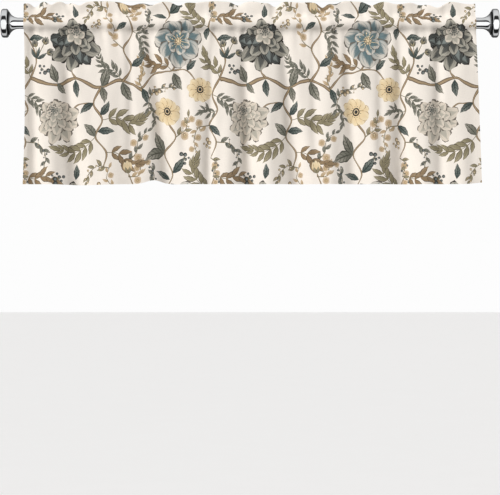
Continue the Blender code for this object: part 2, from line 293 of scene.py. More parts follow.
def heading(share, rise, side):
    """Middle of a layer above the upper seam: it rises to the dipping top edge and leans with each dip."""
    x = across(share, HEAD_SEAM_LEVEL)
    top = HEADING_LEVEL - sum(row.drop * bell(x, row.x, row.half) for row in DIPS)
    lean = sum(row.lean * bell(x, row.x, row.half * 1.4) for row in DIPS)
    base = HEAD_SEAM_LEVEL + SEAM_HEIGHT / 2
    z = base + (top - base) * rise
    apart = SHEET + LAYER_GAP + (HEADING_SPREAD - SHEET - LAYER_GAP) * np.sin(math.pi * rise) ** 0.7
    y = lean * rise ** 1.5 + side * apart / 2
    return grid_points(x, y, z)


def section_rows(share):
    """Middle of the sheet from the lower edge up the front, over the top and down behind, row by row.

    Also gives the rows where the two seams are sewn, in front and behind, and the row on the very top.
    """
    lift = np.array([0.0, 0.0, SEAM_HEIGHT])
    sewn = np.array([0.0, SHEET + LAYER_GAP, 0.0])
    tail = np.array([0.0, 0.0, -TAIL_LENGTH])
    angles = np.radians(np.linspace(140, 40, 11))[None, :]
    rises = np.linspace(0, 1, 14)[None, :]
    front_skirt = skirt(share, np.linspace(1, 0, 98)[None, :])
    seam = front_skirt[:, -1:] + lift
    front_head = heading(share, rises, -1)
    back_head = heading(share, rises[:, ::-1], 1)
    middle = (front_head[:, -1:] + back_head[:, :1]) / 2
    half = (back_head[:, :1] - front_head[:, -1:]) / 2
    turn = np.radians([45.0, 90.0, 135.0])[None, :, None]
    over = middle - half * np.cos(turn) + np.array([0.0, 0.0, 1.0]) * (SHEET + LAYER_GAP) / 2 * np.sin(turn)
    parts = [front_skirt, seam, pocket(share, angles, -1), front_head[:, :1] - lift, front_head, over]
    parts.append(back_head)
    parts += [back_head[:, -1:] - lift, pocket(share, angles[:, ::-1], 1), seam + sewn]
    parts += [front_skirt[:, -1:] + sewn, front_skirt[:, -1:] + sewn + tail]
    counts = np.cumsum([0] + [part.shape[1] for part in parts])
    rows = {"seam front": counts[1] - 0.5, "head front": counts[3] + 0.5, "top": counts[5] + 1.0}
    rows.update({"head back": counts[7] - 0.5, "seam back": counts[10] - 0.5})
    return np.concatenate(parts, axis=1), rows


def interpolated(values, places):
    """Values at fractional indices along the first axis, by straight mixing of the two nearest."""
    low = np.clip(places.astype(int), 0, len(values) - 2)
    part = (places - low).reshape((-1,) + (1,) * (values.ndim - 1))
    return values[low] * (1 - part) + values[low + 1] * part


def face_normals(points):
    """Unit normals of a grid (v, u, xyz) to its printed face: the step along u crossed with that along v."""
    normal = np.cross(np.gradient(points, axis=1), np.gradient(points, axis=0))
    return normal / np.linalg.norm(normal, axis=-1, keepdims=True)


def clear_of_rod(points):
    """Pushes points out from the rod's axis, so that cloth that would pass through the rod lies on it."""
    away = np.hypot(points[..., 1], points[..., 2])
    wanted = ROD_CLEAR + ROD_CLEAR_SOFT * np.logaddexp(0, (away - ROD_CLEAR) / ROD_CLEAR_SOFT)
    share = (wanted / away)[..., None]
    return np.concatenate([points[..., :1], points[..., 1:] * share], axis=-1)


class Sheet:
    """The printed face of the hung sheet as a fine grid over the flat cloth."""

    def __init__(self, ripple, crease):
        share = np.linspace(0, 1, SECTION_COLUMNS)[:, None]
        rows, marks = section_rows(share)
        rows = rows.transpose(1, 0, 2)
        strides = np.linalg.norm(np.diff(rows, axis=0), axis=2).mean(axis=1) * 1000
        along = HEM_TURN + np.concatenate([[0.0], np.cumsum(strides)])
        self.length = float(along[-1])
        places = np.arange(len(along))
        self.lines = {name: float(np.interp(mark, places, along)) for name, mark in marks.items()}
        self.v_axis = np.linspace(HEM_TURN, self.length, int((self.length - HEM_TURN) / STEP))
        self.u_axis = np.linspace(0, CLOTH_WIDTH, int(CLOTH_WIDTH / STEP))
        fine = interpolated(rows, np.interp(self.v_axis, along, places))
        fine = self.evened(self.softened(fine))
        normal = face_normals(fine)
        points = fine + normal * (SHEET / 2 + self.relief(crease)[..., None])
        points[..., 1] -= self.swing(ripple)
        self.points = self.behind(clear_of_rod(points))
        self.normals = face_normals(self.points)

    def softened(self, points):
        """Rounds off the corners between the parts of the section, most at the seams, which carry soft cloth.

        The top fold and the lower edge stay as they are.
        """
        top = np.abs(self.v_axis - self.lines["top"])
        everywhere = np.clip((top - TOP_KEPT) / TOP_BLEND, 0, 1)
        seams = sum(bell(self.v_axis, self.lines[name], SOFT_REACH) for name in self.lines if name != "top")
        near = everywhere * np.clip(seams, 0, 1)
        for number in range(SOFT_ROUNDS):
            mean = points.copy()
            mean[1:-1] = (points[:-2] + 2 * points[1:-1] + points[2:]) / 4
            keep = everywhere if number < SOFT_ROUNDS_ALL else near
            points = points + (mean - points) * keep[:, None, None]
        return points

    def evened(self, points):
        """Spreads each row's points evenly by its arc length, as woven cloth can't stretch over a fold."""
        strides = np.linalg.norm(np.diff(points, axis=1), axis=2)
        reach = np.concatenate([np.zeros((len(points), 1)), np.cumsum(strides, axis=1)], axis=1)
        reach = reach / reach[:, -1:]
        spots = np.arange(points.shape[1])
        wanted = self.u_axis / CLOTH_WIDTH
        return np.stack([interpolated(row, np.interp(wanted, far, spots)) for row, far in zip(points, reach)])

    def behind(self, points):
        """Keeps the raw edge below the lower seam behind the front layer that it is sewn to."""
        past = self.v_axis - self.lines["seam back"]
        tail = past > -TAIL_MARGIN
        start, second = self.v_axis[:2]
        level = (self.lines["seam front"] - past[tail] - start) / (second - start)
        front = interpolated(points[..., 1], level)
        points[tail, :, 1] = np.maximum(points[tail, :, 1], front + TAIL_APART)
        return points

    def swing(self, ripple):
        """How far the seams' ripples carry both layers to the room, dying out from the seam."""
        u = self.u_axis[None, :]
        v = self.v_axis[:, None]
        reach = np.zeros(np.broadcast(u, v).shape)
        for name, line in self.lines.items():
            if name == "top":
                continue
            up = (v - line) * (-1.0 if name.endswith("back") else 1.0)
            place = u + RIPPLE_SLANT * up + (RIPPLE_SHIFT if name.startswith("head") else 0.0)
            fall = np.where((up < 0) & name.startswith("seam"), RIPPLE_FALL, RIPPLE_FALL_SHORT)
            fade = np.exp(-np.abs(up) / fall)
            held = RIPPLE_HELD * np.exp(-(up / RIPPLE_HELD_REACH) ** 2)
            reach += waves(place, RIPPLES) * fade * (1 - held)
        return ripple * reach

    def relief(self, crease):
        """Small depths in metres: a pinch along each seam and the hem's stitches, and faint creases."""
        u = self.u_axis[None, :]
        v = self.v_axis[:, None]
        depth = np.zeros(np.broadcast(u, v).shape)
        for name, line in self.lines.items():
            if name != "top":
                depth -= PINCH_DEPTH * np.exp(-((v - line) / 1.5) ** 2)
        for row in CREASES:
            turn = math.tau * (u / row.length_u + v / row.length_v) + row.phase
            depth += crease * row.depth * np.sin(turn)
        return depth - HEM_PINCH_DEPTH * np.exp(-((v - 2 * HEM_TURN + HEM_STITCH) / 1.6) ** 2)

    def base(self, u, v):
        """Point and normal of the face at places inside the folds, mixed from the grid's four nearest."""
        column = np.clip(u / CLOTH_WIDTH, 0, 1) * (len(self.u_axis) - 1)
        row = np.clip((v - HEM_TURN) / (self.length - HEM_TURN), 0, 1) * (len(self.v_axis) - 1)
        left = np.clip(column.astype(int), 0, len(self.u_axis) - 2)
        low = np.clip(row.astype(int), 0, len(self.v_axis) - 2)
        s = (column - left)[:, None]
        t = (row - low)[:, None]
        found = []
        for field in (self.points, self.normals):
            lower = field[low, left] * (1 - s) + field[low, left + 1] * s
            upper = field[low + 1, left] * (1 - s) + field[low + 1, left + 1] * s
            found.append(lower * (1 - t) + upper * t)
        return found[0], found[1] / np.linalg.norm(found[1], axis=1, keepdims=True)

    def place(self, u, v, thickness):
        """Point and normal of the printed face anywhere on the flat cloth.

        Past a fold the cloth goes half round a circle and lies behind the front layer, printed face to the
        back. The turned-up hem also passes behind the side turns.
        """
        inside_u = np.where(u < 0, -u, np.where(u > CLOTH_WIDTH, 2 * CLOTH_WIDTH - u, u))
        inside_v = np.where(v < HEM_TURN, 2 * HEM_TURN - v, v)
        point, normal = self.base(inside_u, inside_v)
        layer = 2 * thickness + TURN_GAP
        side = math.pi * np.clip(np.maximum(-u, u - CLOTH_WIDTH) / FOLD_ARC, 0, 1)[:, None]
        hem = math.pi * np.clip((HEM_TURN - v) / FOLD_ARC, 0, 1)[:, None]
        outwards = np.where(u < CLOTH_WIDTH / 2, -1.0, 1.0)[:, None] * np.array([1.0, 0.0, 0.0])
        down = np.array([0.0, 0.0, -1.0])
        edge = np.minimum(inside_u, CLOTH_WIDTH - inside_u)
        over = np.clip((SIDE_TURN + OVER_BLEND - edge) / OVER_BLEND, 0, 1)[:, None] * (1 - np.cos(hem)) / 2
        back = layer / 2 * (2 - np.cos(side) - np.cos(hem)) + layer * over
        point = point - normal * back + layer / 2 * (outwards * np.sin(side) + down * np.sin(hem))
        facing = normal * np.cos(side) * np.cos(hem) + outwards * np.sin(side) + down * np.sin(hem)
        return point, facing / np.linalg.norm(facing, axis=1, keepdims=True)

    def outline(self):
        """Corners of the flat cut: the panel, with the two side turns beside its lower part."""
        low, high = HEM_TURN, self.lines["seam front"] - TURN_SHORT
        left, right, far = -SIDE_TURN, CLOTH_WIDTH + SIDE_TURN, CLOTH_WIDTH
        return np.array([
            (0, 0), (far, 0), (far, low), (right, low), (right, high), (far, high), (far, self.length),
            (0, self.length), (0, high), (left, high), (left, low), (0, low),
        ], dtype=float)

    def pressed_lines(self):
        """Ends of the lines where the cloth is folded: both edges of the hem's fold, and the top."""
        return [((0.0, v), (CLOTH_WIDTH, v)) for v in (HEM_TURN, HEM_TURN - FOLD_ARC, self.lines["top"])]

    def holds(self, u, v):
        """Whether places lie on the cut cloth."""
        high = self.lines["seam front"] - TURN_SHORT
        panel = (u > 0) & (u < CLOTH_WIDTH) & (v > 0) & (v < self.length)
        turns = (u > -SIDE_TURN) & (u < CLOTH_WIDTH + SIDE_TURN) & (v > HEM_TURN) & (v < high)
        return panel | turns

    def rows(self, step):
        """Heights for the mesh's own rows: wide in the skirt, close over the rod and at the folds."""
        seam, top = self.lines["seam front"], self.lines["top"]
        arc = np.array([-1.0, -0.5, 0.0])
        low = np.concatenate([np.linspace(0.0, HEM_TURN - 3.0, 5), HEM_TURN + arc * FOLD_ARC])
        body = np.linspace(HEM_TURN + 2.0, seam - 16.0, int((seam - HEM_TURN) / step))
        pocket_front = np.linspace(seam - 12.0, top - 5.0, int((top - seam + 12) / (step * 0.6)))
        fold = top + np.array([-2.4, -1.2, 0.0, 1.2, 2.4])
        behind = np.linspace(top + 5.0, self.length, int((self.length - top) / (step * 0.6)))
        return np.concatenate([low, body, pocket_front, fold, behind])


# ---------------------------------------------------------------- print

TILE_WIDTH = 530.0
TILE_HEIGHT = 420.0
TILE_SHIFT = (26.0, 62.0)    # place of a repeat's lower left corner on the flat cloth

# A printed shape: its closed outline, the points of its middle line, its own frame on the flat cloth (root,
# angle, length, half width, bend, power of its widest place), and the names of its form and inks.
Motif = namedtuple("Motif", "outline spine at angle length half bend full form inks")

# How a form is inked: side veins of a leaf, share of a petal's flame, and its fan veins.
Form = namedtuple("Form", "veins flame fan")
FORMS = {
    "leaf": Form(6.0, 0.0, 0.0),
    "small leaf": Form(3.0, 0.0, 0.0),
    "petal": Form(0.0, 0.84, 7.0),
    "small petal": Form(0.0, 0.50, 3.0),
    "stem": Form(0.0, 0.80, 0.0),
    "spot": Form(0.0, 0.75, 0.0),
}

# The inks of one kind of plant: rim line, colour at the root, at the tip, and of the veins or flame.
Inks = namedtuple("Inks", "rim root tip vein")
INKS = {
    "sea": Inks("grey", "blue", "mist", "deep_blue"),
    "cream": Inks("ochre", "straw", "butter", "sand"),
    "night": Inks("charcoal", "charcoal", "fog", "navy"),
    "dusk": Inks("charcoal", "charcoal", "navy", "slate"),
    "pearl": Inks("grey", "fog", "pale", "fog"),
    "teal leaf": Inks("pine", "teal", "sky", "pine"),
    "sage leaf": Inks("moss", "sage", "fog", "moss"),
    "olive leaf": Inks("umber", "olive", "khaki", "olive"),
    "brown leaf": Inks("umber", "brown", "tan", "brown"),
    "blush leaf": Inks("ochre", "tan", "blush", "ochre"),
    "bark": Inks("umber", "umber", "brown", "tan"),
    "twig": Inks("umber", "umber", "olive", "olive"),
    "dark spot": Inks("charcoal", "navy", "navy", "slate"),
    "eye": Inks("charcoal", "charcoal", "navy", "charcoal"),
    "straw spot": Inks("ochre", "straw", "butter", "butter"),
    "tan spot": Inks("umber", "brown", "tan", "butter"),
    "thread": Inks("ochre", "straw", "butter", "butter"),
}


def smooth_route(route, count):
    """Points along the Catmull-Rom curve through a few given points, even in the curve's own parameter."""
    route = np.asarray(route, dtype=float)
    ends = np.concatenate([[2 * route[0] - route[1]], route, [2 * route[-1] - route[-2]]])
    t = np.linspace(0, len(route) - 1, count)
    span = np.minimum(t.astype(int), len(route) - 2)
    t = (t - span)[:, None]
    p0, p1, p2, p3 = (ends[span + k] for k in range(4))
    curve = (2 * p0 - 5 * p1 + 4 * p2 - p3) * t ** 2 + (3 * p1 - p0 - 3 * p2 + p3) * t ** 3
    return 0.5 * (2 * p1 + (p2 - p0) * t + curve)


def bent(points, length, bend):
    """Curls points lying along the X axis, so that the axis turns evenly by the bend over the length."""
    if abs(bend) < 1e-3:
        return points
    radius = length / bend
    turn = points[:, 0] / radius
    reach = radius - points[:, 1]
    return np.stack([reach * np.sin(turn), radius - reach * np.cos(turn)], axis=1)


def placed(points, at, angle):
    """Turns points about the origin and moves them to their place."""
    c, s = math.cos(angle), math.sin(angle)
    return points @ np.array([[c, s], [-s, c]]) + np.asarray(at, dtype=float)


def leaf_profile(t, full):
    """Half width along a leaf or petal, 0 to 1: a sine of the length to a power.

    A power under 1 gives a leaf with a sharp tip, a power over 1 a petal that is wide and blunt.
    """
    return np.sin(math.pi * np.clip(t, 0, 1) ** full) ** (0.95 / full)


def pointing(angle):
    """The direction of an angle, of length 1."""
    return np.array([math.cos(angle), math.sin(angle)])


def away_from(at, angle, reach):
    """The place that lies a distance from another in the direction of an angle."""
    return np.asarray(at) + reach * pointing(angle)


def turned_round(start, count):
    """Number and angle of a count of directions, evenly round from the first."""
    return [(number, start + number * math.tau / count) for number in range(count)]


class Design:
    """The motifs of one repeat in painting order, the last on top. In millimetres and radians."""

    def __init__(self):
        self.motifs = []

    def blade(self, at, angle, length, width, inks, form, bend, full, steps, ruffle, count, phase):
        """One leaf or petal; a ruffle waves its edge, more towards the tip."""
        t = np.linspace(0, 1, steps + 1)
        half = width / 2 * leaf_profile(t, full)
        x = np.concatenate([t, t[-2:0:-1]]) * length
        y = np.concatenate([half, -half[-2:0:-1]])
        if ruffle:
            turn = np.linspace(0, math.tau, len(x), endpoint=False)
            wave = ruffle * np.sin(count * turn + phase)
            x = x + wave * (x / length) ** 2
            y = y * (1 + 1.4 * wave / width)
        outline = placed(bent(np.stack([x, y], axis=1), length, bend), at, angle)
        middle = np.linspace(0.08, 0.93, max(steps // 2, 2) + 1) * length
        spine = placed(bent(np.stack([middle, np.zeros_like(middle)], axis=1), length, bend), at, angle)
        self.motifs.append(Motif(outline, spine, at, angle, length, width / 2, bend, full, form, inks))

    def leaf(self, at, angle, length, width, inks, bend=0.0):
        """A leaf with its veins, drawn with fewer points when it is small."""
        form, steps, ruffle = ("small leaf", 7, 0.0) if length < 30 else ("leaf", 13, 0.045 * width)
        self.blade(at, angle, length, width, inks, form, bend, 0.85, steps, ruffle, 7.0, length)

    def petal(self, at, angle, length, width, inks, ruffle, count, phase, bend=0.0, full=1.5):
        """A petal that is widest near its tip."""
        form, steps = ("small petal", 6) if length < 20 else ("petal", 13)
        self.blade(at, angle, length, width, inks, form, bend, full, steps, ruffle, count, phase)

    def stroke(self, line, widths, inks):
        """A band along a line, one four-sided piece for each step of it."""
        step = np.diff(line, axis=0)
        lengths = np.linalg.norm(step, axis=1)
        tangent = np.gradient(line, axis=0)
        normal = np.stack([-tangent[:, 1], tangent[:, 0]], axis=1)
        normal = normal / np.linalg.norm(tangent, axis=1, keepdims=True)
        side = normal * np.asarray(widths)[:, None] / 2
        left, right = line + side, line - side
        for i, length in enumerate(lengths):
            outline = np.array([left[i], right[i], right[i + 1], left[i + 1]])
            angle = math.atan2(step[i][1], step[i][0])
            half = (widths[i] + widths[i + 1]) / 4
            middle = line[i: i + 2]
            self.motifs.append(Motif(outline, middle, line[i], angle, length, half, 0.0, 1.0, "stem", inks))

    def stalk(self, at, tip, widths, inks):
        """A straight stroke from a root to a tip."""
        self.stroke(np.array([np.asarray(at, dtype=float), tip]), widths, inks)

    def stem(self, route, start, end, knots):
        """A branch whose width falls from start to end, swelling at its knots and tapering at its tip."""
        count = 6 * len(route)
        line = smooth_route(route, count)
        widths = np.linspace(start, end, count)
        widths = widths * (1 + 0.24 * np.sin(np.linspace(0, knots * math.tau, count)))
        widths[-1] *= 0.3
        self.stroke(line, widths, "bark")

    def spot(self, at, radius, inks):
        """A round spot, lit from one side."""
        turn = np.linspace(0, math.tau, 12 if radius > 2.0 else 8, endpoint=False)
        outline = np.asarray(at) + radius * np.stack([np.cos(turn), np.sin(turn)], axis=1)
        spine = np.asarray(at, dtype=float)[None, :]
        self.motifs.append(Motif(outline, spine, at, 2.2, radius, radius, 0.0, 1.0, "spot", inks))

    def ring(self, at, radius, away, count, inks, turn):
        """Spots evenly round a centre."""
        for _, angle in turned_round(turn, count):
            self.spot(away_from(at, angle, away), radius, inks)

    def stamens(self, at, reach, count, thick, turn):
        """A burst of thin strokes of unlike length, each ending in a spot."""
        for number, angle in turned_round(turn, count):
            tip = away_from(at, angle, reach * (1.0, 0.72, 0.88)[number % 3])
            self.stalk(at, tip, (thick, thick * 0.5), "thread")
            self.spot(tip, thick * 0.75, "straw spot")

    def berries(self, at, count, spread, radius, inks, turn):
        """A loose bunch: spots on a sunflower spiral, each on a short stalk."""
        for number in range(count):
            spot = away_from(at, turn + number * 2.4, spread * math.sqrt((number + 0.6) / count))
            self.stalk(at, spot, (1.5, 1.0), "twig")
            self.spot(spot, radius * (0.8 + 0.3 * math.sin(number * 1.9)), inks)

    def frond(self, route, pairs, reach, width, inks, curl):
        """Pairs of leaflets along a curved rib, longest near its middle, and one at its end."""
        spread, taper, rib = 0.95, 0.5, 1.8
        line = smooth_route(route, 9)
        self.stroke(line, np.linspace(rib, rib * 0.5, len(line)), "twig")
        for share in np.linspace(0.14, 0.92, pairs):
            spot, heading = self.along(line, share)
            size = reach * (1 - taper * abs(share - 0.4) / 0.6)
            for side in (1, -1):
                angle = heading + side * spread * (1 - 0.3 * share)
                self.leaf(spot, angle, size, width * size / reach, inks, -side * curl)
        spot, heading = self.along(line, 0.999)
        self.leaf(spot, heading, reach * 0.8, width * 0.85, inks)

    def along(self, line, share):
        """Point and heading at a share of a line's steps."""
        index = share * (len(line) - 1)
        low = min(int(index), len(line) - 2)
        step = line[low + 1] - line[low]
        return line[low] + step * (index - low), math.atan2(step[1], step[0])

    def spray(self, route, size, inks, blossom, berry):
        """A thin twig with leaves by turns on either side, and blossoms or berries among them."""
        line = smooth_route(route, 10)
        self.stroke(line, np.linspace(2.6, 1.2, len(line)), "twig")
        for number in range(1, len(line)):
            spot, heading = self.along(line, number / len(line))
            side = 1 if number % 2 else -1
            share = 1 - 0.35 * number / len(line)
            if number % 3 == 2 and blossom:
                at = away_from(spot, heading + side, size * 0.5)
                self.blossom(at, size * 0.5 * share, blossom, number)
            elif number % 3 == 0 and berry:
                self.berries(spot, 3, size * 0.42, size * 0.12, berry, number)
            else:
                angle = heading + 0.8 * side
                self.leaf(spot, angle, size * share, size * 0.42 * share, inks, -0.4 * side)
        spot, heading = self.along(line, 0.999)
        self.leaf(spot, heading, size * 0.75, size * 0.3, inks)

    def blossom(self, at, radius, inks, turn):
        """A small flower of five petals with a dotted middle."""
        for number, angle in turned_round(turn, 5):
            self.petal(at, angle, radius, radius * 0.95, inks, 0.5, 3.0, number)
        self.spot(at, radius * 0.2, "tan spot")

    def bud(self, at, angle, length, inks, cup, sides=(-1, 1, 0)):
        """A half open flower: narrow petals in a small cup of leaves."""
        for side in sides:
            long = length * (1 - 0.1 * abs(side))
            bend = -0.25 * side
            self.petal(at, angle + 0.36 * side, long, length * 0.40, inks, 1.0, 4.0, side, bend, 1.2)
        for side in (-1, 1):
            self.leaf(at, angle + 0.62 * side, length * 0.55, length * 0.24, cup, -0.6 * side)

    def posy(self, at, angle, reach, inks, cup):
        """Three buds on forked stalks, with long leaves at the foot."""
        for side, share in ((-1, 0.85), (1, 0.8), (0, 1.15)):
            aim = angle + 0.62 * side
            tip = away_from(at, aim, reach * share)
            self.stalk(at, tip, (2.4, 1.8), "twig")
            foot = angle + 1.15 * side + 0.25
            self.leaf(at, foot, reach * 0.9, reach * 0.27, "teal leaf", -0.7 * side)
            self.bud(tip, aim + 0.2 * side, reach * 0.62, inks, cup, (-2, 2, -1, 1, 0))

    def open_flower(self, at, radius, inks, turn):
        """A wide bloom: two rings of frilled petals and a burst of stamens."""
        for ring, count, size, broad, offset in ((0, 7, 1.0, 0.95, 0.0), (1, 6, 0.54, 0.46, 0.42)):
            for number, angle in turned_round(turn + offset, count):
                long = radius * size * (1.0 + 0.09 * math.sin(3 * number + ring))
                bend = 0.14 * math.sin(number * 2.0)
                self.petal(at, angle, long, radius * broad, inks, 3.4 - ring, 6.0, number * 1.3, bend)
        self.stamens(at, radius * 0.42, 13, 1.9, turn)
        self.ring(at, radius * 0.055, radius * 0.10, 6, "tan spot", turn)

    def daisy(self, at, radius, inks, turn):
        """A bloom of broad notched petals round a dark eye."""
        for number, angle in turned_round(turn, 10):
            long = radius * (0.96 + 0.07 * math.sin(5 * number))
            self.petal(at, angle, long, radius * 0.68, inks, 1.7, 5.0, number * 0.9)
        self.ring(at, radius * 0.03, radius * 0.36, 12, "dark spot", turn)
        self.spot(at, radius * 0.28, "eye")
        self.spot(at, radius * 0.19, "straw spot")
        self.spot(at, radius * 0.13, "eye")

    def peony(self, at, radius, inks, second, heart, turn):
        """A full bloom: rings of frilled petals whose centres move towards one side, and a spotted heart.

        Every third petal takes the second inks.
        """
        lean = pointing(turn)
        for ring, (count, size, offset, broad) in enumerate(PEONY_RINGS):
            centre = np.asarray(at) + lean * radius * 0.09 * ring
            for number, angle in turned_round(turn + math.pi + offset, count):
                uneven = 1.0 - 0.16 * math.cos(angle - turn) + 0.11 * math.sin(4.0 * number + ring)
                ink = heart if ring > 2 else second if (number + ring) % 3 == 1 else inks
                bend = 0.22 * math.sin(number * 2.3 + ring)
                self.petal(centre, angle, radius * size * uneven, radius * size * broad, ink,
                           3.6 * size + 0.4, 6.0, number * 1.7 + ring, bend, 1.35)
        heart_at = np.asarray(at) + lean * radius * 0.42
        self.ring(heart_at, radius * 0.030, radius * 0.19, 11, "dark spot", turn)
        self.ring(heart_at, radius * 0.035, radius * 0.10, 7, "dark spot", turn)
        self.spot(heart_at, radius * 0.05, "dark spot")

    def leaves(self, rows, inks):
        """Single leaves from rows of x, y, angle in degrees, length, width and bend."""
        for x, y, angle, length, width, bend in rows:
            self.leaf((x, y), math.radians(angle), length, width, inks, bend)


# Rings of a full bloom from the outside in: petals, size, turn of the first, and width against its length.
PEONY_RINGS = (
    (9, 1.0, 0.0, 0.66),
    (8, 0.78, 0.35, 0.68),
    (6, 0.56, 0.1, 0.80),
    (5, 0.38, 0.5, 0.90),
    (3, 0.24, 0.2, 1.1),
)

# Branches of one repeat: start and end width, knots and route, in millimetres.
BRANCHES = (
    (9, 7, 5, ((520, 232), (590, 214), (650, 232), (710, 208), (770, 226), (824, 204), (850, 176))),
    (5, 3.5, 3, ((120, 232), (108, 252), (126, 280), (118, 300))),
    (6, 3.5, 4, ((246, 222), (272, 262), (252, 306), (280, 352), (262, 412))),
    (5, 3.5, 3, ((300, 204), (336, 240), (388, 252), (404, 292))),
    (4, 3, 2, ((388, 252), (430, 250), (462, 214))),
    (6, 4, 4, ((190, 210), (168, 168), (192, 126), (174, 84), (204, 44), (196, 4))),
    (4, 3, 2, ((168, 168), (128, 166), (94, 142))),
    (5, 3, 3, ((372, 120), (396, 82), (362, 40), (384, -8), (372, -40))),
    (5, 3, 4, ((520, 232), (498, 190), (512, 150), (488, 112), (508, 70), (492, 30))),
    (5, 3, 4, ((520, 232), (538, 278), (518, 330), (494, 366), (508, 414))),
)

# Leafy twigs: leaf size, inks of leaves, blossoms and berries, and route.
SPRAYS = (
    (23, "blush leaf", "blush leaf", None, ((252, 306), (224, 332), (230, 366), (206, 396), (212, 424))),
    (23, "blush leaf", "blush leaf", "tan spot", ((488, 112), (456, 104), (446, 72), (452, 42))),
    (28, "sage leaf", None, "dark spot", ((280, 352), (318, 362), (330, 396), (318, 424))),
    (26, "olive leaf", "blush leaf", "tan spot", ((396, 82), (424, 104), (430, 134))),
    (27, "sage leaf", None, "dark spot", ((508, 70), (546, 64), (566, 34), (560, 0))),
    (25, "olive leaf", None, "tan spot", ((212, 424), (180, 430), (156, 408), (150, 392))),
    (25, "sage leaf", "blush leaf", None, ((258, 16), (284, 44), (288, 76), (312, 92))),
    (24, "sage leaf", None, "tan spot", ((850, 176), (866, 200), (906, 206), (924, 214))),
    (22, "blush leaf", "blush leaf", None, ((262, 402), (290, 404), (296, 430), (320, 446))),
    (22, "olive leaf", "blush leaf", "dark spot", ((492, 30), (510, 14), (500, -14), (520, -30))),
    (22, "blush leaf", None, "tan spot", ((300, 204), (292, 232), (306, 250), (296, 276))),
)

# Feathered leaves: pairs, leaflet length and width, inks, curl and route.
FRONDS = (
    (6, 46, 17, "olive leaf", 0.5, ((192, 126), (232, 132), (268, 116), (296, 128))),
    (6, 44, 16, "olive leaf", 0.5, ((174, 84), (146, 58), (110, 44), (76, 50))),
    (5, 40, 15, "brown leaf", 0.6, ((204, 44), (236, 40), (258, 16), (286, 14))),
    (5, 38, 14, "brown leaf", 0.6, ((388, 252), (362, 268), (336, 262), (318, 280))),
    (6, 42, 15, "olive leaf", 0.5, ((494, 366), (464, 384), (440, 414), (448, 440))),
    (5, 40, 15, "brown leaf", 0.5, ((508, 406), (534, 396), (562, 404), (588, 394))),
    (5, 34, 14, "olive leaf", 0.5, ((520, 232), (510, 258), (488, 268), (482, 290))),
    (8, 30, 10, "sage leaf", 0.3, ((498, 190), (530, 176), (554, 148), (586, 150))),
    (8, 30, 10, "sage leaf", 0.3, ((246, 222), (226, 250), (196, 258), (184, 286))),
    (6, 28, 10, "sage leaf", 0.3, ((280, 352), (304, 336), (310, 306), (304, 290))),
    (5, 26, 9, "sage leaf", 0.3, ((850, 176), (846, 154), (866, 134), (862, 116))),
    (5, 27, 9, "sage leaf", 0.4, ((512, 150), (494, 144), (480, 152), (466, 146))),
)

# Single leaves: x, y, angle in degrees, length, width and bend.
TEAL_LEAVES = (
    (272, 262, 20, 46, 19, 0.5), (300, 204, -60, 44, 18, -0.4), (430, 250, 60, 40, 17, -0.5),
    (168, 168, 200, 44, 18, 0.5), (120, 228, 265, 46, 19, 0.4), (384, -8, 35, 54, 22, 0.5),
    (180, 96, 15, 46, 19, -0.5), (518, 330, 20, 44, 18, -0.5), (494, 366, 250, 38, 16, 0.4),
    (186, 138, 42, 44, 19, 0.5), (488, 112, -30, 42, 17, -0.4), (264, 380, 205, 38, 16, 0.5),
    (376, -26, 150, 42, 17, 0.4), (118, 396, 75, 40, 16, 0.4),
)
SAGE_LEAVES = (
    (362, 40, 190, 62, 30, 0.4), (362, 40, 130, 56, 27, -0.4), (190, 210, 60, 52, 25, 0.4),
    (246, 222, 285, 56, 26, 0.5), (66, 220, 120, 50, 24, -0.4), (174, 84, 120, 46, 22, 0.5),
    (190, 210, 292, 42, 20, -0.4), (392, 246, 285, 50, 24, 0.4), (66, 220, 300, 36, 17, 0.4),
)

# Bunches of berries: x, y, berries, spread, size and inks.
BERRIES = (
    (70, 398, 7, 17, 5.5, "dark spot"),
    (336, 196, 5, 14, 5.0, "tan spot"),
    (28, 252, 6, 15, 5.0, "dark spot"),
    (420, 30, 6, 15, 5.0, "dark spot"),
    (180, 374, 6, 14, 5.0, "tan spot"),
    (482, 64, 5, 13, 5.0, "tan spot"),
)


def floral_repeat():
    """The motifs of one repeat: branches, twigs and leaves first, then the blooms over them."""
    d = Design()
    for start, end, knots, route in BRANCHES:
        d.stem(route, start, end, knots)
    for size, inks, blossom, berry, route in SPRAYS:
        d.spray(route, size, inks, blossom, berry)
    for pairs, reach, width, inks, curl, route in FRONDS:
        d.frond(route, pairs, reach, width, inks, curl)
    d.leaves(TEAL_LEAVES, "teal leaf")
    d.leaves(SAGE_LEAVES, "sage leaf")
    for x, y, count, spread, radius, inks in BERRIES:
        d.berries((x, y), count, spread, radius, inks, x)
    d.posy((540, 282), 1.05, 36, "night", "olive leaf")
    d.bud((262, 410), 1.7, 34, "cream", "olive leaf")
    d.peony((118, 326), 68, "night", "dusk", "pearl", 1.40)
    d.open_flower((410, 326), 66, "sea", 0.3)
    d.daisy((372, 146), 38, "cream", 0.2)
    d.daisy((464, 202), 35, "cream", 0.5)
    d.peony((66, 130), 58, "pearl", "pearl", "pearl", 2.10)
    return d.motifs


def repeated(motifs, low, high):
    """Every copy of the motifs that reaches into a box, in painting order, with the shift of each copy."""
    found = []
    for motif in motifs:
        small, large = motif.outline.min(axis=0), motif.outline.max(axis=0)
        for column in range(-2, 5):
            for row in range(-2, 4):
                shift = np.array(TILE_SHIFT) + (column * TILE_WIDTH, row * TILE_HEIGHT)
                if (large + shift > low).all() and (small + shift < high).all():
                    found.append((motif, shift))
    return found


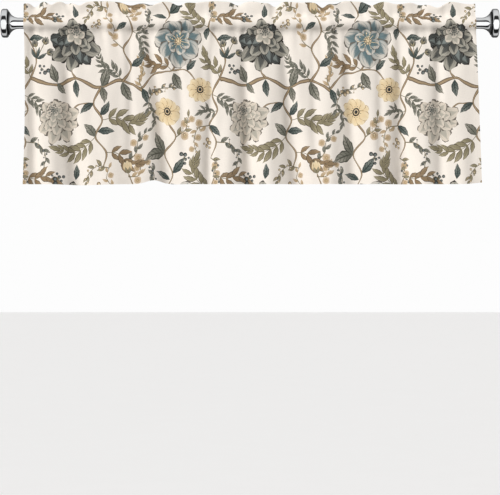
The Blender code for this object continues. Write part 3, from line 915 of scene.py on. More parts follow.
def uppermost(spots, copies):
    """Number of the last copy whose outline holds each spot, or -1, by counting the edges to one side."""
    order = np.argsort(spots[:, 0])
    x, y = spots[order].T
    top = np.full(len(spots), -1)
    for number, (motif, shift) in enumerate(copies):
        outline = motif.outline + shift
        first, last = np.searchsorted(x, (outline[:, 0].min(), outline[:, 0].max()))
        level = (y[first:last] > outline[:, 1].min()) & (y[first:last] < outline[:, 1].max())
        near = first + np.nonzero(level)[0]
        if not len(near):
            continue
        x1, y1 = outline.T[:, :, None]
        x2, y2 = np.roll(outline, -1, axis=0).T[:, :, None]
        between = (y1 > y[near]) != (y2 > y[near])
        slope = np.where(y2 == y1, 1.0, y2 - y1)
        crossing = between & (x[near] < x1 + (x2 - x1) * (y[near] - y1) / slope)
        top[near[crossing.sum(axis=0) % 2 == 1]] = number
    result = np.empty_like(top)
    result[order] = top
    return result


def motif_places(points, numbers, copies):
    """Place of each point in its motif's own frame: along from root to tip, and across, -1 to 1 at the edges.

    A spot's across is its distance from the middle, and a stem's along is always half way.
    """
    along = np.full(len(points), 0.5)
    side = np.zeros(len(points))
    chosen = np.nonzero(numbers >= 0)[0]
    kinds = [copies[number][0] for number in numbers[chosen]]
    shifts = np.array([copies[number][1] for number in numbers[chosen]])
    root = np.array([motif.at for motif in kinds], dtype=float) + shifts
    angle, length, half, bend, full = np.array([motif[3:8] for motif in kinds], dtype=float).T
    away = points[chosen] - root
    x = away[:, 0] * np.cos(angle) + away[:, 1] * np.sin(angle)
    y = away[:, 1] * np.cos(angle) - away[:, 0] * np.sin(angle)
    curled = np.abs(bend) > 1e-3
    radius = np.where(curled, length / np.where(curled, bend, 1.0), 1.0)
    sign = np.sign(radius)
    turned = np.arctan2(x * sign, (radius - y) * sign) * radius
    y = np.where(curled, radius - sign * np.hypot(x, radius - y), y)
    x = np.where(curled, turned, x)
    form = np.array([motif.form for motif in kinds])
    t = np.clip(x / length, 0.0, 1.0)
    wide = leaf_profile(np.clip(t, 0.03, 0.97), full)
    straight = (form == "stem") | (form == "spot")
    across_leaf = np.clip(y / (half * np.where(straight, 1.0, wide)), -1, 1)
    along[chosen] = np.where(form == "stem", 0.5, np.where(form == "spot", 0.5 + 0.35 * x / length, t))
    side[chosen] = np.where(form == "spot", np.clip(np.hypot(x, y) / half, 0, 1), across_leaf)
    return np.stack([along, side], axis=1)


# ---------------------------------------------------------------- meshes

def triangle_mesh(name, points, triangles):
    """A mesh from arrays of points and triangles."""
    mesh = bpy.data.meshes.new(name)
    mesh.vertices.add(len(points))
    mesh.vertices.foreach_set("co", np.asarray(points, dtype=np.float32).ravel())
    mesh.loops.add(3 * len(triangles))
    mesh.loops.foreach_set("vertex_index", np.asarray(triangles, dtype=np.int32).ravel())
    mesh.polygons.add(len(triangles))
    mesh.polygons.foreach_set("loop_start", np.arange(0, 3 * len(triangles), 3, dtype=np.int32))
    mesh.update(calc_edges=True)
    mesh.validate()
    return mesh


def linear(tint):
    """Linear light of sRGB values from 0 to 1."""
    tint = np.asarray(tint, dtype=float)
    return np.where(tint <= 0.04045, tint / 12.92, ((tint + 0.055) / 1.055) ** 2.4)


def triangulated(points, edges):
    """Delaunay triangles that keep the given edges: the points, with crossings added, and the triangles."""
    found = delaunay_2d_cdt(points.tolist(), edges.tolist(), [], 0, 1e-3, False)
    return np.array([tuple(point) for point in found[0]]), np.array(found[2])


def closed_chain(start, count):
    """Edges round a closed outline whose points are numbered from start."""
    here = start + np.arange(count)
    return np.stack([here, np.roll(here, -1)], axis=1)


def divided(points, edges, longest):
    """Splits edges that are too long evenly: the points with the new ones added at the end, and the edges."""
    start, end = points[edges[:, 0]], points[edges[:, 1]]
    parts = np.maximum(np.ceil(np.linalg.norm(end - start, axis=1) / longest).astype(int), 1)
    owner = np.repeat(np.arange(len(edges)), parts)
    number = np.arange(len(owner)) - np.repeat(np.cumsum(parts) - parts, parts)
    inner = number > 0
    share = (number / parts[owner])[inner, None]
    added = start[owner[inner]] * (1 - share) + end[owner[inner]] * share
    first = edges[owner, 0]
    first[inner] = len(points) + np.arange(len(added))
    second = np.roll(first, -1)
    last = number == parts[owner] - 1
    second[last] = edges[owner[last], 1]
    return np.concatenate([points, added]), np.stack([first, second], axis=1)


def motif_network(copies, longest):
    """Points and edges of the motifs' outlines and middle lines, without what later motifs cover."""
    lines, owners, edges, total = [], [], [], 0
    for number, (motif, shift) in enumerate(copies):
        ring = closed_chain(total, len(motif.outline))
        middle = total + len(motif.outline)
        edges.append(ring)
        lines.append(motif.outline + shift)
        if motif.form == "spot":
            edges.append(np.array([[total, middle]]))
        if motif.form != "stem":
            edges.append(closed_chain(middle, len(motif.spine))[:-1])
            lines.append(motif.spine + shift)
        count = sum(len(line) for line in lines[-(1 if motif.form == "stem" else 2):])
        owners.append(np.full(count, number))
        total += count
    points, edges = np.concatenate(lines), np.concatenate(edges)
    seen = uppermost(points, copies) <= np.concatenate(owners)
    kept, codes = np.unique(edges[seen[edges].any(axis=1)], return_inverse=True)
    return divided(points[kept], codes.reshape(-1, 2), longest)


def occupied(spots, others, cell):
    """Whether each spot shares a square cell of the flat cloth with any of the others."""
    cells = [np.floor(places / cell) for places in (spots, others)]
    codes = [numbers[:, 0] * 1e4 + numbers[:, 1] for numbers in cells]
    return np.isin(*codes)


def print_network(sheet, copies, step):
    """Points and edges on the flat cloth: the motifs, folds, the cut, and a grid that fills the gaps."""
    drawn, drawn_edges = motif_network(copies, step)
    points, edges, total = [drawn], [drawn_edges], len(drawn)
    rows = sheet.rows(step)
    columns = np.arange(0, CLOTH_WIDTH + 0.1, step)
    u, v = np.meshgrid(columns, rows)
    u = u + np.where(np.arange(len(rows)) % 2, step / 2, 0.0)[:, None]
    grid = np.stack([u, v], axis=-1)[u < CLOTH_WIDTH]
    skirt_part = grid[:, 1] < sheet.lines["seam front"] - 16
    near = occupied(grid, drawn, step * 0.35) | occupied(grid, drawn, step * 0.6) & skirt_part
    kept_rows = (0.0, HEM_TURN, sheet.lines["top"], sheet.length)
    needed = np.min(np.abs(grid[:, 1, None] - kept_rows), axis=1) < 3.0
    grid = grid[~near | needed]
    points.append(grid)
    total += len(grid)
    tall = np.arange(2.0, sheet.length, step)
    for edge in (-SIDE_TURN, -FOLD_ARC, -FOLD_ARC / 2, 0.0):
        for line in (edge, CLOTH_WIDTH - edge):
            points.append(np.stack([np.full(len(tall), line), tall], axis=1))
            total += len(tall)
    sides = (0, CLOTH_WIDTH, -FOLD_ARC, CLOTH_WIDTH + FOLD_ARC)
    upright = [((u, HEM_TURN), (u, sheet.lines["seam front"])) for u in sides]
    for line in sheet.pressed_lines() + upright:
        points.append(np.array(line, dtype=float))
        edges.append(np.array([[total, total + 1]]))
        total += 2
    outline = sheet.outline()
    points.append(outline)
    edges.append(closed_chain(total, len(outline)))
    return np.concatenate(points), np.concatenate(edges)


def kept_triangles(sheet, spots, triangles):
    """The triangles on the cut cloth, all turned the same way round, without those that have no area."""
    corners = spots[triangles]
    middle = corners.mean(axis=1)
    first, second = corners[:, 1] - corners[:, 0], corners[:, 2] - corners[:, 0]
    area = first[:, 0] * second[:, 1] - first[:, 1] * second[:, 0]
    triangles = np.where((area < 0)[:, None], triangles[:, ::-1], triangles)
    kept = sheet.holds(middle[:, 0], middle[:, 1]) & (np.abs(area) > 1e-4)
    return triangles[kept]


def rim_of(triangles):
    """The points on free edges, and those edges in their one triangle's direction, by places in that list."""
    edges = np.concatenate([triangles[:, (0, 1)], triangles[:, (1, 2)], triangles[:, (2, 0)]])
    size = edges.max() + 1
    codes = edges.min(axis=1) * size + edges.max(axis=1)
    _, inverse, counts = np.unique(codes, return_inverse=True, return_counts=True)
    rim = edges[counts[inverse] == 1]
    border, places = np.unique(rim, return_inverse=True)
    return border, places.reshape(rim.shape)


def write_colours(mesh, name, values):
    """Adds a colour layer with one value for each corner."""
    layer = mesh.attributes.new(name, "FLOAT_COLOR", "CORNER")
    layer.data.foreach_set("color", values.ravel())


def reverse_network(sheet, border_spots, rim, step):
    """Places and triangles of the reverse on the flat cloth: the face's edge, the folds and a wider grid."""
    u, v = np.meshgrid(np.arange(step, CLOTH_WIDTH, step), sheet.rows(step * 1.25)[1:-1])
    filling = np.stack([u.ravel(), v.ravel()], axis=1)
    fold_points = np.array(sheet.pressed_lines()).reshape(-1, 2)
    fold_edges = len(border_spots) + len(filling) + np.arange(len(fold_points)).reshape(-1, 2)
    points = np.concatenate([border_spots, filling, fold_points])
    spots, triangles = triangulated(points, np.concatenate([rim, fold_edges]))
    return spots, kept_triangles(sheet, spots, triangles)[:, ::-1]


def write_inks(mesh, tints, numbers, copies, ghost):
    """Colour layers of each corner's four inks, and one of its form's marks.

    The face's corners come first, each with the number of its motif's copy, or -1 for plain cloth. Next come
    the reverse's corners, whose colours are given, and last the rim's, which are plain.
    """
    total, front, back = len(mesh.loops), len(numbers), len(numbers) + len(ghost)
    chosen = np.nonzero(numbers >= 0)[0]
    motifs = [copies[number][0] for number in numbers[chosen]]
    names = list(INKS)
    ink_of = np.full(total, -1)
    ink_of[chosen] = [names.index(motif.inks) for motif in motifs]
    for part in Inks._fields:
        table = [linear(getattr(tints, getattr(row, part))) for row in INKS.values()]
        values = np.array(table + [linear(tints.ground)])[ink_of]
        values[front:back] = ghost
        values[back:] = linear(tints.reverse)
        write_colours(mesh, "ink_" + part, np.concatenate([values, np.ones((total, 1))], axis=1))
    marks = np.zeros((total, 4))
    marks[chosen, :3] = [FORMS[motif.form] for motif in motifs]
    write_colours(mesh, "motif_marks", marks)


def write_maps(mesh, flat, place, front, back, length):
    """UV maps of the corners: the baking square, the flat cloth in metres, and the motif's own frame.

    In the baking square the reverse, from corner number front on, lies above the face. The rim, from corner
    number back on, is drawn in a little.
    """
    square = CLOTH_WIDTH + 2 * SIDE_TURN + 2 * BAKE_MARGIN
    bake = (flat + (SIDE_TURN + BAKE_MARGIN, BAKE_MARGIN)) / square
    bake[front:, 1] += (length + 2 * BAKE_MARGIN) / square
    bake[back:] = bake[back:] * 0.998 + 0.001
    for name, values in (("OFBake", bake), ("Cloth", flat / 1000), ("Motif", place)):
        layer = mesh.uv_layers.new(name=name)
        layer.data.foreach_set("uv", values.astype(np.float32).ravel())


def welded_smooth(mesh, normals):
    """Welds the sheet's edges shut and shades it by the hung surface's own normals."""
    layer = mesh.attributes.new("face_normal", "FLOAT_VECTOR", "POINT")
    layer.data.foreach_set("vector", normals.astype(np.float32).ravel())
    weld(mesh, 2e-6)
    smooth = np.empty(3 * len(mesh.vertices), dtype=np.float32)
    mesh.attributes["face_normal"].data.foreach_get("vector", smooth)
    mesh.attributes.remove(mesh.attributes["face_normal"])
    mesh.shade_smooth()
    mesh.normals_split_custom_set_from_vertices(smooth.reshape(-1, 3).tolist())


def cloth_mesh(sheet, sizes, tints):
    """The printed face, the plain reverse and the thin rim between them, welded into one closed sheet.

    The face is a triangulation of the flat cloth that follows the outline of every motif, carried to the hung
    sheet's surface. The reverse lies one thickness behind it.
    """
    thickness, step = sizes.thickness, sizes.mesh_step
    cut = sheet.outline()
    copies = repeated(floral_repeat(), cut.min(axis=0), cut.max(axis=0))
    spots, front = triangulated(*print_network(sheet, copies, step))
    front = kept_triangles(sheet, spots, front)
    border, rim = rim_of(front)
    back_spots, back = reverse_network(sheet, spots[border], rim, step)

    face_point, face_normal = sheet.place(spots[:, 0], spots[:, 1], thickness)
    back_point, back_normal = sheet.place(back_spots[:, 0], back_spots[:, 1], thickness)
    back_point = back_point - back_normal * thickness
    rim_point, rim_normal = face_point[border], face_normal[border]
    rim_back = rim_point - rim_normal * thickness
    start, end = rim.T
    start_back, end_back = start + len(border), end + len(border)
    rim_faces = np.concatenate([
        np.stack([end, start, start_back], axis=1),
        np.stack([end, start_back, end_back], axis=1),
    ])
    faces = np.concatenate([front, back + len(spots), rim_faces + len(spots) + len(back_spots)])
    points = np.concatenate([face_point, back_point, rim_point, rim_back])
    mesh = triangle_mesh("valance_cloth", points, faces)

    numbers = np.repeat(uppermost(spots[front].mean(axis=1), copies), 3)
    write_inks(mesh, tints, numbers, copies, ghost_values(back_spots, copies, tints)[back.ravel()])
    flat = np.concatenate([spots, back_spots, spots[border], spots[border]])[faces.ravel()]
    place = np.tile((0.5, 0.0), (len(flat), 1))
    place[:front.size] = motif_places(spots[front.ravel()], numbers, copies)
    write_maps(mesh, flat, place, front.size, front.size + back.size, sheet.length)
    welded_smooth(mesh, np.concatenate([face_normal, -back_normal, rim_normal, -rim_normal]))
    return mesh


def ghost_values(spots, copies, tints):
    """Linear colours of the reverse: the plain cloth with the print showing through faintly and blurred."""
    ground = linear(tints.reverse)
    names = list(INKS)
    table = np.array([(linear(getattr(tints, row.root)) + linear(getattr(tints, row.tip))) / 2
                      for row in INKS.values()] + [linear(tints.ground)])
    bold = [copy for copy in copies if copy[0].form != "spot"]
    ink_of = np.array([names.index(copy[0].inks) for copy in bold] + [-1])
    total = np.zeros((len(spots), 3))
    shifts = ((0.0, 0.0), (2.5, 0.5), (-2.2, 1.4), (0.6, -2.6), (-0.4, 2.4))
    for shift in shifts:
        total += table[ink_of[uppermost(spots + shift, bold)]]
    return ground * (1 - tints.show_through) + total / len(shifts) * tints.show_through


def reworked(mesh, change):
    """Runs a change on an editable copy of a mesh and puts it back."""
    work = bmesh.new()
    work.from_mesh(mesh)
    change(work)
    work.to_mesh(mesh)
    work.free()


def weld(mesh, distance):
    """Joins points closer than a distance."""
    reworked(mesh, lambda work: bmesh.ops.remove_doubles(work, verts=work.verts[:], dist=distance))


def outwards(mesh):
    """Turns every face of a closed mesh to the outside."""
    reworked(mesh, lambda work: bmesh.ops.recalc_face_normals(work, faces=work.faces[:]))


def ring_quads(rings, sides):
    """Four-sided faces of a tube: each joins two neighbours on a ring to the two beside them on the next."""
    ring, side = np.meshgrid(np.arange(rings - 1), np.arange(sides), indexing="ij")
    a = ring * sides + side
    b = ring * sides + (side + 1) % sides
    return np.stack([a, b, b + sides, a + sides], axis=-1).reshape(-1, 4)


def stitch_rows(sheet, sizes):
    """Places on the flat cloth of every stitch, with its row's direction: the seams, the hem, the sides."""
    pitch = sizes.stitch_pitch * 1000
    level = np.arange(pitch / 2, CLOTH_WIDTH, pitch)
    upright = np.arange(2 * HEM_TURN + pitch, sheet.lines["seam front"] - 6, pitch)
    heights = [sheet.lines[name] for name in ("seam front", "head front", "head back", "seam back")]
    inset = SIDE_TURN - HEM_STITCH
    rows = [(level, v, 1.0, 0.0) for v in heights + [2 * HEM_TURN - HEM_STITCH, HEM_STITCH]]
    rows += [(u, upright, 0.0, 1.0) for u in (inset, -inset, CLOTH_WIDTH - inset, CLOTH_WIDTH + inset)]
    return np.concatenate([np.stack(np.broadcast_arrays(*row), axis=1) for row in rows])


def stitching_mesh(sheet, sizes):
    """Short lengths of thread, each a round bar whose radius dips into the cloth at both ends."""
    rows = stitch_rows(sheet, sizes)
    place, aim = rows[:, :2], rows[:, 2:]
    centre, normal = sheet.place(place[:, 0], place[:, 1], sizes.thickness)
    ahead = sheet.place(place[:, 0] + aim[:, 0], place[:, 1] + aim[:, 1], sizes.thickness)[0]
    behind = sheet.place(place[:, 0] - aim[:, 0], place[:, 1] - aim[:, 1], sizes.thickness)[0]
    along = ahead - behind
    along /= np.linalg.norm(along, axis=1, keepdims=True)
    beside = np.cross(normal, along)
    turn = np.linspace(0, math.tau, 6, endpoint=False)
    reach = np.array([-0.5, -0.36, 0.0, 0.36, 0.5])
    radius = np.array([0.25, 0.85, 1.0, 0.85, 0.25]) * sizes.thread / 2
    sink = np.array([-0.6, -0.05, 0.30, -0.05, -0.6]) * sizes.thread / 2
    x = reach[:, None] * sizes.stitch_length * np.ones_like(turn)
    y = radius[:, None] * np.cos(turn)
    z = radius[:, None] * np.sin(turn) + sink[:, None]
    points = centre[:, None, None]
    for direction, reached in ((along, x), (beside, y), (normal, z)):
        points = points + direction[:, None, None] * reached[..., None]
    rings, sides = x.shape
    quads = ring_quads(rings, sides)
    triangles = np.concatenate([quads[:, :3], quads[:, (0, 2, 3)]])
    fan = np.arange(1, sides - 1)
    cap = np.stack([np.zeros_like(fan), fan + 1, fan], axis=1)
    triangles = np.concatenate([triangles, cap, cap[:, ::-1] + (rings - 1) * sides])
    whole = (triangles[None] + rings * sides * np.arange(len(rows))[:, None, None]).reshape(-1, 3)
    mesh = triangle_mesh("valance_stitching", points.reshape(-1, 3), whole)
    outwards(mesh)
    mesh.shade_smooth()
    return mesh


def arc(centre, radius, start, end, steps):
    """Points of a circle's arc, angles in degrees from the X axis."""
    angles = np.radians(np.linspace(start, end, steps + 1))
    return np.stack([centre[0] + radius * np.cos(angles), centre[1] + radius * np.sin(angles)], axis=1)


def finial_profile():
    """Distance along the rod and radius: plug, neck, hollow flare, groove and disc with rounded rims."""
    spigot = ROD_RADIUS - ROD_WALL - SEAT_GAP
    chamfer = SPIGOT_LENGTH / 15
    edge, inset = 0.0004, 0.004
    plug = np.array([
        (-SPIGOT_LENGTH, 0.0), (-SPIGOT_LENGTH, spigot - chamfer), (chamfer - SPIGOT_LENGTH, spigot),
        (SEAT_GAP, spigot), (SEAT_GAP, ROD_RADIUS - edge),
    ])
    shoulder = arc((SEAT_GAP + edge, ROD_RADIUS - edge), edge, 180, 90, 4)
    neck = np.stack([np.linspace(inset, NECK_LENGTH - inset, 5), np.full(5, ROD_RADIUS)], axis=1)
    sweep = math.degrees(math.asin(FLARE_REACH / FLARE_ARC))
    flare = arc((NECK_LENGTH, ROD_RADIUS + FLARE_ARC), FLARE_ARC, -90, -90 + sweep, 18)
    end, radius = flare[-1]
    inner_face = end + GROOVE_WIDTH
    floor = np.array([(end, radius - GROOVE_DEPTH), (inner_face, radius - GROOVE_DEPTH)])
    rim = DISC_RADIUS - DISC_ROUND
    outer_face = inner_face + DISC_THICKNESS
    round_in = arc((inner_face + DISC_ROUND, rim), DISC_ROUND, 180, 90, 9)
    round_out = arc((outer_face - DISC_ROUND, rim), DISC_ROUND, 90, 0, 9)
    face = np.linspace(1, 0, 7)[1:, None]
    crown = np.concatenate([outer_face + DISC_CROWN * (1 - face ** 2), rim * face], axis=1)
    return np.concatenate([plug, shoulder, neck, flare, floor, round_in, round_out, crown])


def groove_shade(profile):
    """Painted shade in and beside the groove: 1 on its floor, which starts where the profile drops straight
    in.

    It falls to 0 at GROOVE_SHADE from the floor's start, up the end of the flare, as a square root.
    """
    drop = (np.diff(profile[:, 0]) == 0) & (np.diff(profile[:, 1]) < -GROOVE_DEPTH / 2)
    start, floor = profile[1:][drop][0]
    flare = np.sqrt(np.clip(1 - (start - profile[:, 0]) / GROOVE_SHADE, 0, 1)) * (profile[:, 0] <= start)
    return np.where(profile[:, 1] == floor, 1.0, flare)


def turned_mesh(name, profile, side, sides):
    """A profile spun round the rod's axis: radius times cosine and sine of the angle, closed at the poles."""
    turn = np.linspace(0, math.tau, sides, endpoint=False)
    along, radius = profile[:, 0][:, None], profile[:, 1][:, None]
    x = side * (ROD_LENGTH / 2 + along) * np.ones_like(turn)
    points = np.stack([x, radius * np.cos(turn), radius * np.sin(turn)], axis=-1)
    mesh = bpy.data.meshes.new(name)
    mesh.from_pydata(points.reshape(-1, 3).tolist(), [], ring_quads(len(profile), sides).tolist())
    # Painted shade for the chrome: 1 in the groove, falling off up the end of the flare.
    painted_recess_shade = mesh.attributes.new("painted_recess_shade", "FLOAT", "POINT")
    painted_recess_shade.data.foreach_set("value", np.repeat(groove_shade(profile), sides).astype(np.float32))
    weld(mesh, 1e-7)
    mesh.validate()
    outwards(mesh)
    mesh.shade_smooth()
    mesh.set_sharp_from_angle(angle=math.radians(35))
    return mesh


def linked(name, data):
    """A new object in the scene."""
    thing = bpy.data.objects.new(name, data)
    bpy.context.scene.collection.objects.link(thing)
    return thing


def piece(name, mesh, finish):
    """Links a mesh as a piece that rides on the part's one body and takes its finish from a slot."""
    thing = linked(name, mesh)
    mesh.materials.append(finish)
    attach(thing, "root")
    return thing


# ---------------------------------------------------------------- finishes

class Wiring:
    """Short calls that add nodes to one node tree, each giving the new node's output."""

    def __init__(self, tree):
        self.tree = tree

    def node(self, kind, **settings):
        made = self.tree.nodes.new(kind)
        for name, value in settings.items():
            setattr(made, name, value)
        return made

    def feed(self, socket, value):
        if isinstance(value, bpy.types.NodeSocket):
            self.tree.links.new(value, socket)
        else:
            socket.default_value = value

    def math(self, operation, first, second=0.0):
        made = self.node("ShaderNodeMath", operation=operation)
        self.feed(made.inputs[0], first)
        self.feed(made.inputs[1], second)
        return made.outputs[0]

    def plus(self, first, second):
        return self.math("ADD", first, second)

    def minus(self, first, second):
        return self.math("SUBTRACT", first, second)

    def times(self, first, second):
        return self.math("MULTIPLY", first, second)

    def above(self, value, limit):
        return self.math("GREATER_THAN", value, limit)

    def ramp(self, value, start, end, low=0.0, high=1.0, kind="SMOOTHSTEP"):
        made = self.node("ShaderNodeMapRange", interpolation_type=kind)
        for socket, number in zip(made.inputs, (value, start, end, low, high)):
            self.feed(socket, number)
        return made.outputs[0]

    def mix(self, share, first, second, mode="MIX"):
        made = self.node("ShaderNodeMix", data_type="RGBA", blend_type=mode)
        for socket, value in (("Factor", share), (6, first), (7, second)):
            self.feed(made.inputs[socket], value)
        return made.outputs[2]

    def noise(self, vector, scale, detail=2.0, stretch=(1.0, 1.0, 1.0)):
        moved = self.node("ShaderNodeMapping")
        self.feed(moved.inputs["Vector"], vector)
        moved.inputs["Scale"].default_value = stretch
        made = self.node("ShaderNodeTexNoise")
        self.feed(made.inputs["Vector"], moved.outputs[0])
        made.inputs["Scale"].default_value = scale
        made.inputs["Detail"].default_value = detail
        return made.outputs["Fac"]

    def group(self, tree, **values):
        made = self.node("ShaderNodeGroup", node_tree=tree)
        for name, value in values.items():
            self.feed(made.inputs[name.replace("_", " ")], value)
        return made.outputs


def node_group(name, inputs, outputs):
    """An empty shader group with named inputs (name, kind, default) and outputs (name, kind)."""
    tree = bpy.data.node_groups.new(name, "ShaderNodeTree")
    for title, kind, default in inputs:
        socket = tree.interface.new_socket(name=title, in_out="INPUT", socket_type="NodeSocket" + kind)
        if default is not None:
            socket.default_value = default
    for title, kind in outputs:
        tree.interface.new_socket(name=title, in_out="OUTPUT", socket_type="NodeSocket" + kind)
    wires = Wiring(tree)
    return tree, wires, wires.node("NodeGroupInput").outputs, wires.node("NodeGroupOutput").inputs


def motif_group():
    """Inks one motif from its own frame: root to tip, a flame, veins, a shaded half and a rim line."""
    white = (1.0, 1.0, 1.0, 1.0)
    tree, w, given, out = node_group("Printed motif", (
        ("Along", "Float", 0.5), ("Across", "Float", 0.0),
        ("Rim", "Color", white), ("Root", "Color", white), ("Tip", "Color", white), ("Vein", "Color", white),
        ("Side veins", "Float", 0.0), ("Flame", "Float", 0.0), ("Fan veins", "Float", 0.0),
        ("Grain", "Float", 0.5),
    ), (("Color", "Color"),))
    along, side = given["Along"], given["Across"]
    wide = w.math("ABSOLUTE", side)
    grain = w.times(w.minus(given["Grain"], 0.5), 0.25)
    body = w.mix(w.ramp(w.plus(along, grain), 0.10, 0.92), given["Root"], given["Tip"])
    has_flame = w.above(given["Flame"], 0.01)
    tongue = w.times(given["Flame"], w.minus(1.15, wide))
    flame = w.ramp(w.minus(w.plus(along, grain), tongue), 0.12, -0.12)
    body = w.mix(w.times(w.times(flame, has_flame), 0.85), body, given["Vein"])
    shaded = w.times(w.ramp(side, 0.03, -0.03), w.above(given["Side veins"], 0.5))
    body = w.mix(w.times(shaded, 0.45), body, given["Root"])

    stripe = w.times(w.minus(along, w.times(wide, 0.22)), given["Side veins"])
    stripe = w.math("ABSOLUTE", w.minus(w.math("FRACT", stripe), 0.5))
    line = w.times(w.ramp(stripe, 0.17, 0.07), w.ramp(wide, 0.80, 0.70))
    rib = w.ramp(wide, 0.15, 0.07)
    leafy = w.above(given["Side veins"], 0.5)
    veins = w.times(w.math("MAXIMUM", w.times(line, 0.75), rib), leafy)
    fan = w.times(w.times(side, given["Fan veins"]), 0.5)
    fan = w.math("ABSOLUTE", w.minus(w.math("FRACT", w.plus(fan, 20.5)), 0.5))
    fan = w.times(w.ramp(fan, 0.14, 0.04), w.times(w.ramp(along, 0.20, 0.35), w.ramp(along, 0.97, 0.72)))
    fan = w.times(w.times(fan, w.above(given["Fan veins"], 0.5)), 0.6)
    body = w.mix(w.math("MAXIMUM", veins, fan), body, given["Vein"])

    nearness = w.plus(w.plus(wide, w.times(grain, 0.3)), w.times(leafy, 0.10))
    edge = w.math("MAXIMUM", w.ramp(nearness, 0.84, 0.92), w.ramp(along, 0.955, 0.975))
    w.feed(out["Color"], w.mix(edge, body, given["Rim"]))
    return tree


def ink_group():
    """Uneven ink: broad light and dark patches, and fine threads that took less of it."""
    tree, w, given, out = node_group("Ink variation", (
        ("Color", "Color", (0.8, 0.8, 0.8, 1.0)), ("Cloth", "Vector", None), ("Amount", "Float", 1.0),
    ), (("Color", "Color"), ("Grain", "Float")))
    broad = w.noise(given["Cloth"], 14.0, 3.0)
    speck = w.noise(given["Cloth"], 420.0, 3.0)
    weft = w.noise(given["Cloth"], 60.0, 2.0, (1.0, 26.0, 1.0))
    warp = w.noise(given["Cloth"], 60.0, 2.0, (26.0, 1.0, 1.0))
    level = w.plus(w.times(w.minus(broad, 0.5), 0.10),
                   w.times(w.minus(w.plus(weft, warp), 1.0), 0.14))
    level = w.plus(level, w.times(w.minus(speck, 0.5), 0.10))
    level = w.plus(1.0, w.times(level, given["Amount"]))
    shade = w.node("ShaderNodeCombineColor")
    for socket in shade.inputs:
        w.feed(socket, level)
    w.feed(out["Color"], w.mix(1.0, given["Color"], shade.outputs[0], "MULTIPLY"))
    w.feed(out["Grain"], speck)
    return tree


def weave_group():
    """Plain weave: threads over and under each other, the product of two sines, with slubs both ways."""
    tree, w, given, out = node_group("Cotton weave", (
        ("Cloth", "Vector", None), ("Threads per metre", "Float", 2200.0), ("Slub", "Float", 0.5),
    ), (("Height", "Float"), ("Thread", "Float")))
    parts = w.node("ShaderNodeSeparateXYZ")
    w.feed(parts.inputs[0], given["Cloth"])
    turn = w.times(given["Threads per metre"], math.pi)
    warp = w.math("SINE", w.times(parts.outputs[0], turn))
    weft = w.math("SINE", w.times(parts.outputs[1], turn))
    plain = w.plus(0.5, w.times(w.times(warp, weft), 0.5))
    slub_weft = w.noise(given["Cloth"], 70.0, 2.0, (1.0, 22.0, 1.0))
    slub_warp = w.noise(given["Cloth"], 70.0, 2.0, (22.0, 1.0, 1.0))
    slub = w.times(w.plus(slub_weft, slub_warp), given["Slub"])
    w.feed(out["Height"], w.plus(w.times(plain, 0.5), slub))
    w.feed(out["Thread"], plain)
    return tree


def wear_group():
    """Handling marks on polished metal: wide cloudy smears and fine hairlines."""
    tree, w, given, out = node_group("Polish wear", (
        ("Position", "Vector", None), ("Least roughness", "Float", 0.06), ("Smear", "Float", 0.10),
    ), (("Roughness", "Float"), ("Height", "Float"), ("Smear mask", "Float")))
    cloud = w.ramp(w.noise(given["Position"], 38.0, 4.0), 0.45, 0.75)
    hair = w.noise(given["Position"], 240.0, 2.0, (12.0, 1.0, 1.0))
    rough = w.plus(given["Least roughness"], w.times(cloud, given["Smear"]))
    w.feed(out["Roughness"], w.plus(rough, w.times(hair, 0.02)))
    w.feed(out["Height"], hair)
    w.feed(out["Smear mask"], cloud)
    return tree


def solid(tint, share=1.0):
    """Linear red, green, blue and alpha of an sRGB tint, darkened to a share."""
    return (*(share * linear(tint)), 1.0)


def new_finish(name):
    """An empty material with its Principled shader."""
    finish = bpy.data.materials.new(name)
    finish.use_nodes = True
    return finish, Wiring(finish.node_tree), finish.node_tree.nodes["Principled BSDF"].inputs


def bumped(w, shader, height, strength, distance):
    """Feeds a height to the shader's normal."""
    bump = w.node("ShaderNodeBump")
    bump.inputs["Strength"].default_value = strength
    bump.inputs["Distance"].default_value = distance
    w.feed(bump.inputs["Height"], height)
    w.feed(shader["Normal"], bump.outputs[0])


def cotton_finish(finishes):
    """Printed cotton: the motif's inks, uneven ink, and the weave's relief."""
    finish, w, shader = new_finish("cotton_print")
    cloth = w.node("ShaderNodeUVMap", uv_map="Cloth").outputs[0]
    motif = w.node("ShaderNodeSeparateXYZ")
    w.feed(motif.inputs[0], w.node("ShaderNodeUVMap", uv_map="Motif").outputs[0])
    inks = {part: w.node("ShaderNodeAttribute", attribute_name="ink_" + part).outputs["Color"]
            for part in Inks._fields}
    marks = w.node("ShaderNodeSeparateXYZ")
    w.feed(marks.inputs[0], w.node("ShaderNodeAttribute", attribute_name="motif_marks").outputs["Vector"])
    weave = w.group(weave_group(), Cloth=cloth, Threads_per_metre=finishes.threads, Slub=0.6)
    ink_tree = ink_group()
    plain = w.group(ink_tree, Cloth=cloth)
    colour = w.group(motif_group(), Along=motif.outputs[0], Across=motif.outputs[1], Rim=inks["rim"],
                     Root=inks["root"], Tip=inks["tip"], Vein=inks["vein"], Side_veins=marks.outputs[0],
                     Flame=marks.outputs[1], Fan_veins=marks.outputs[2], Grain=plain["Grain"])["Color"]
    uneven = w.group(ink_tree, Color=colour, Cloth=cloth, Amount=finishes.ink_unevenness)
    w.feed(shader["Base Color"], uneven["Color"])
    w.feed(shader["Roughness"], w.ramp(weave["Thread"], 0.0, 1.0, 0.92, 0.80))
    shader["Specular IOR Level"].default_value = 0.25
    shader["Sheen Weight"].default_value = 0.12
    shader["Sheen Roughness"].default_value = 0.5
    bumped(w, shader, weave["Height"], 0.35, 0.00012)
    return finish


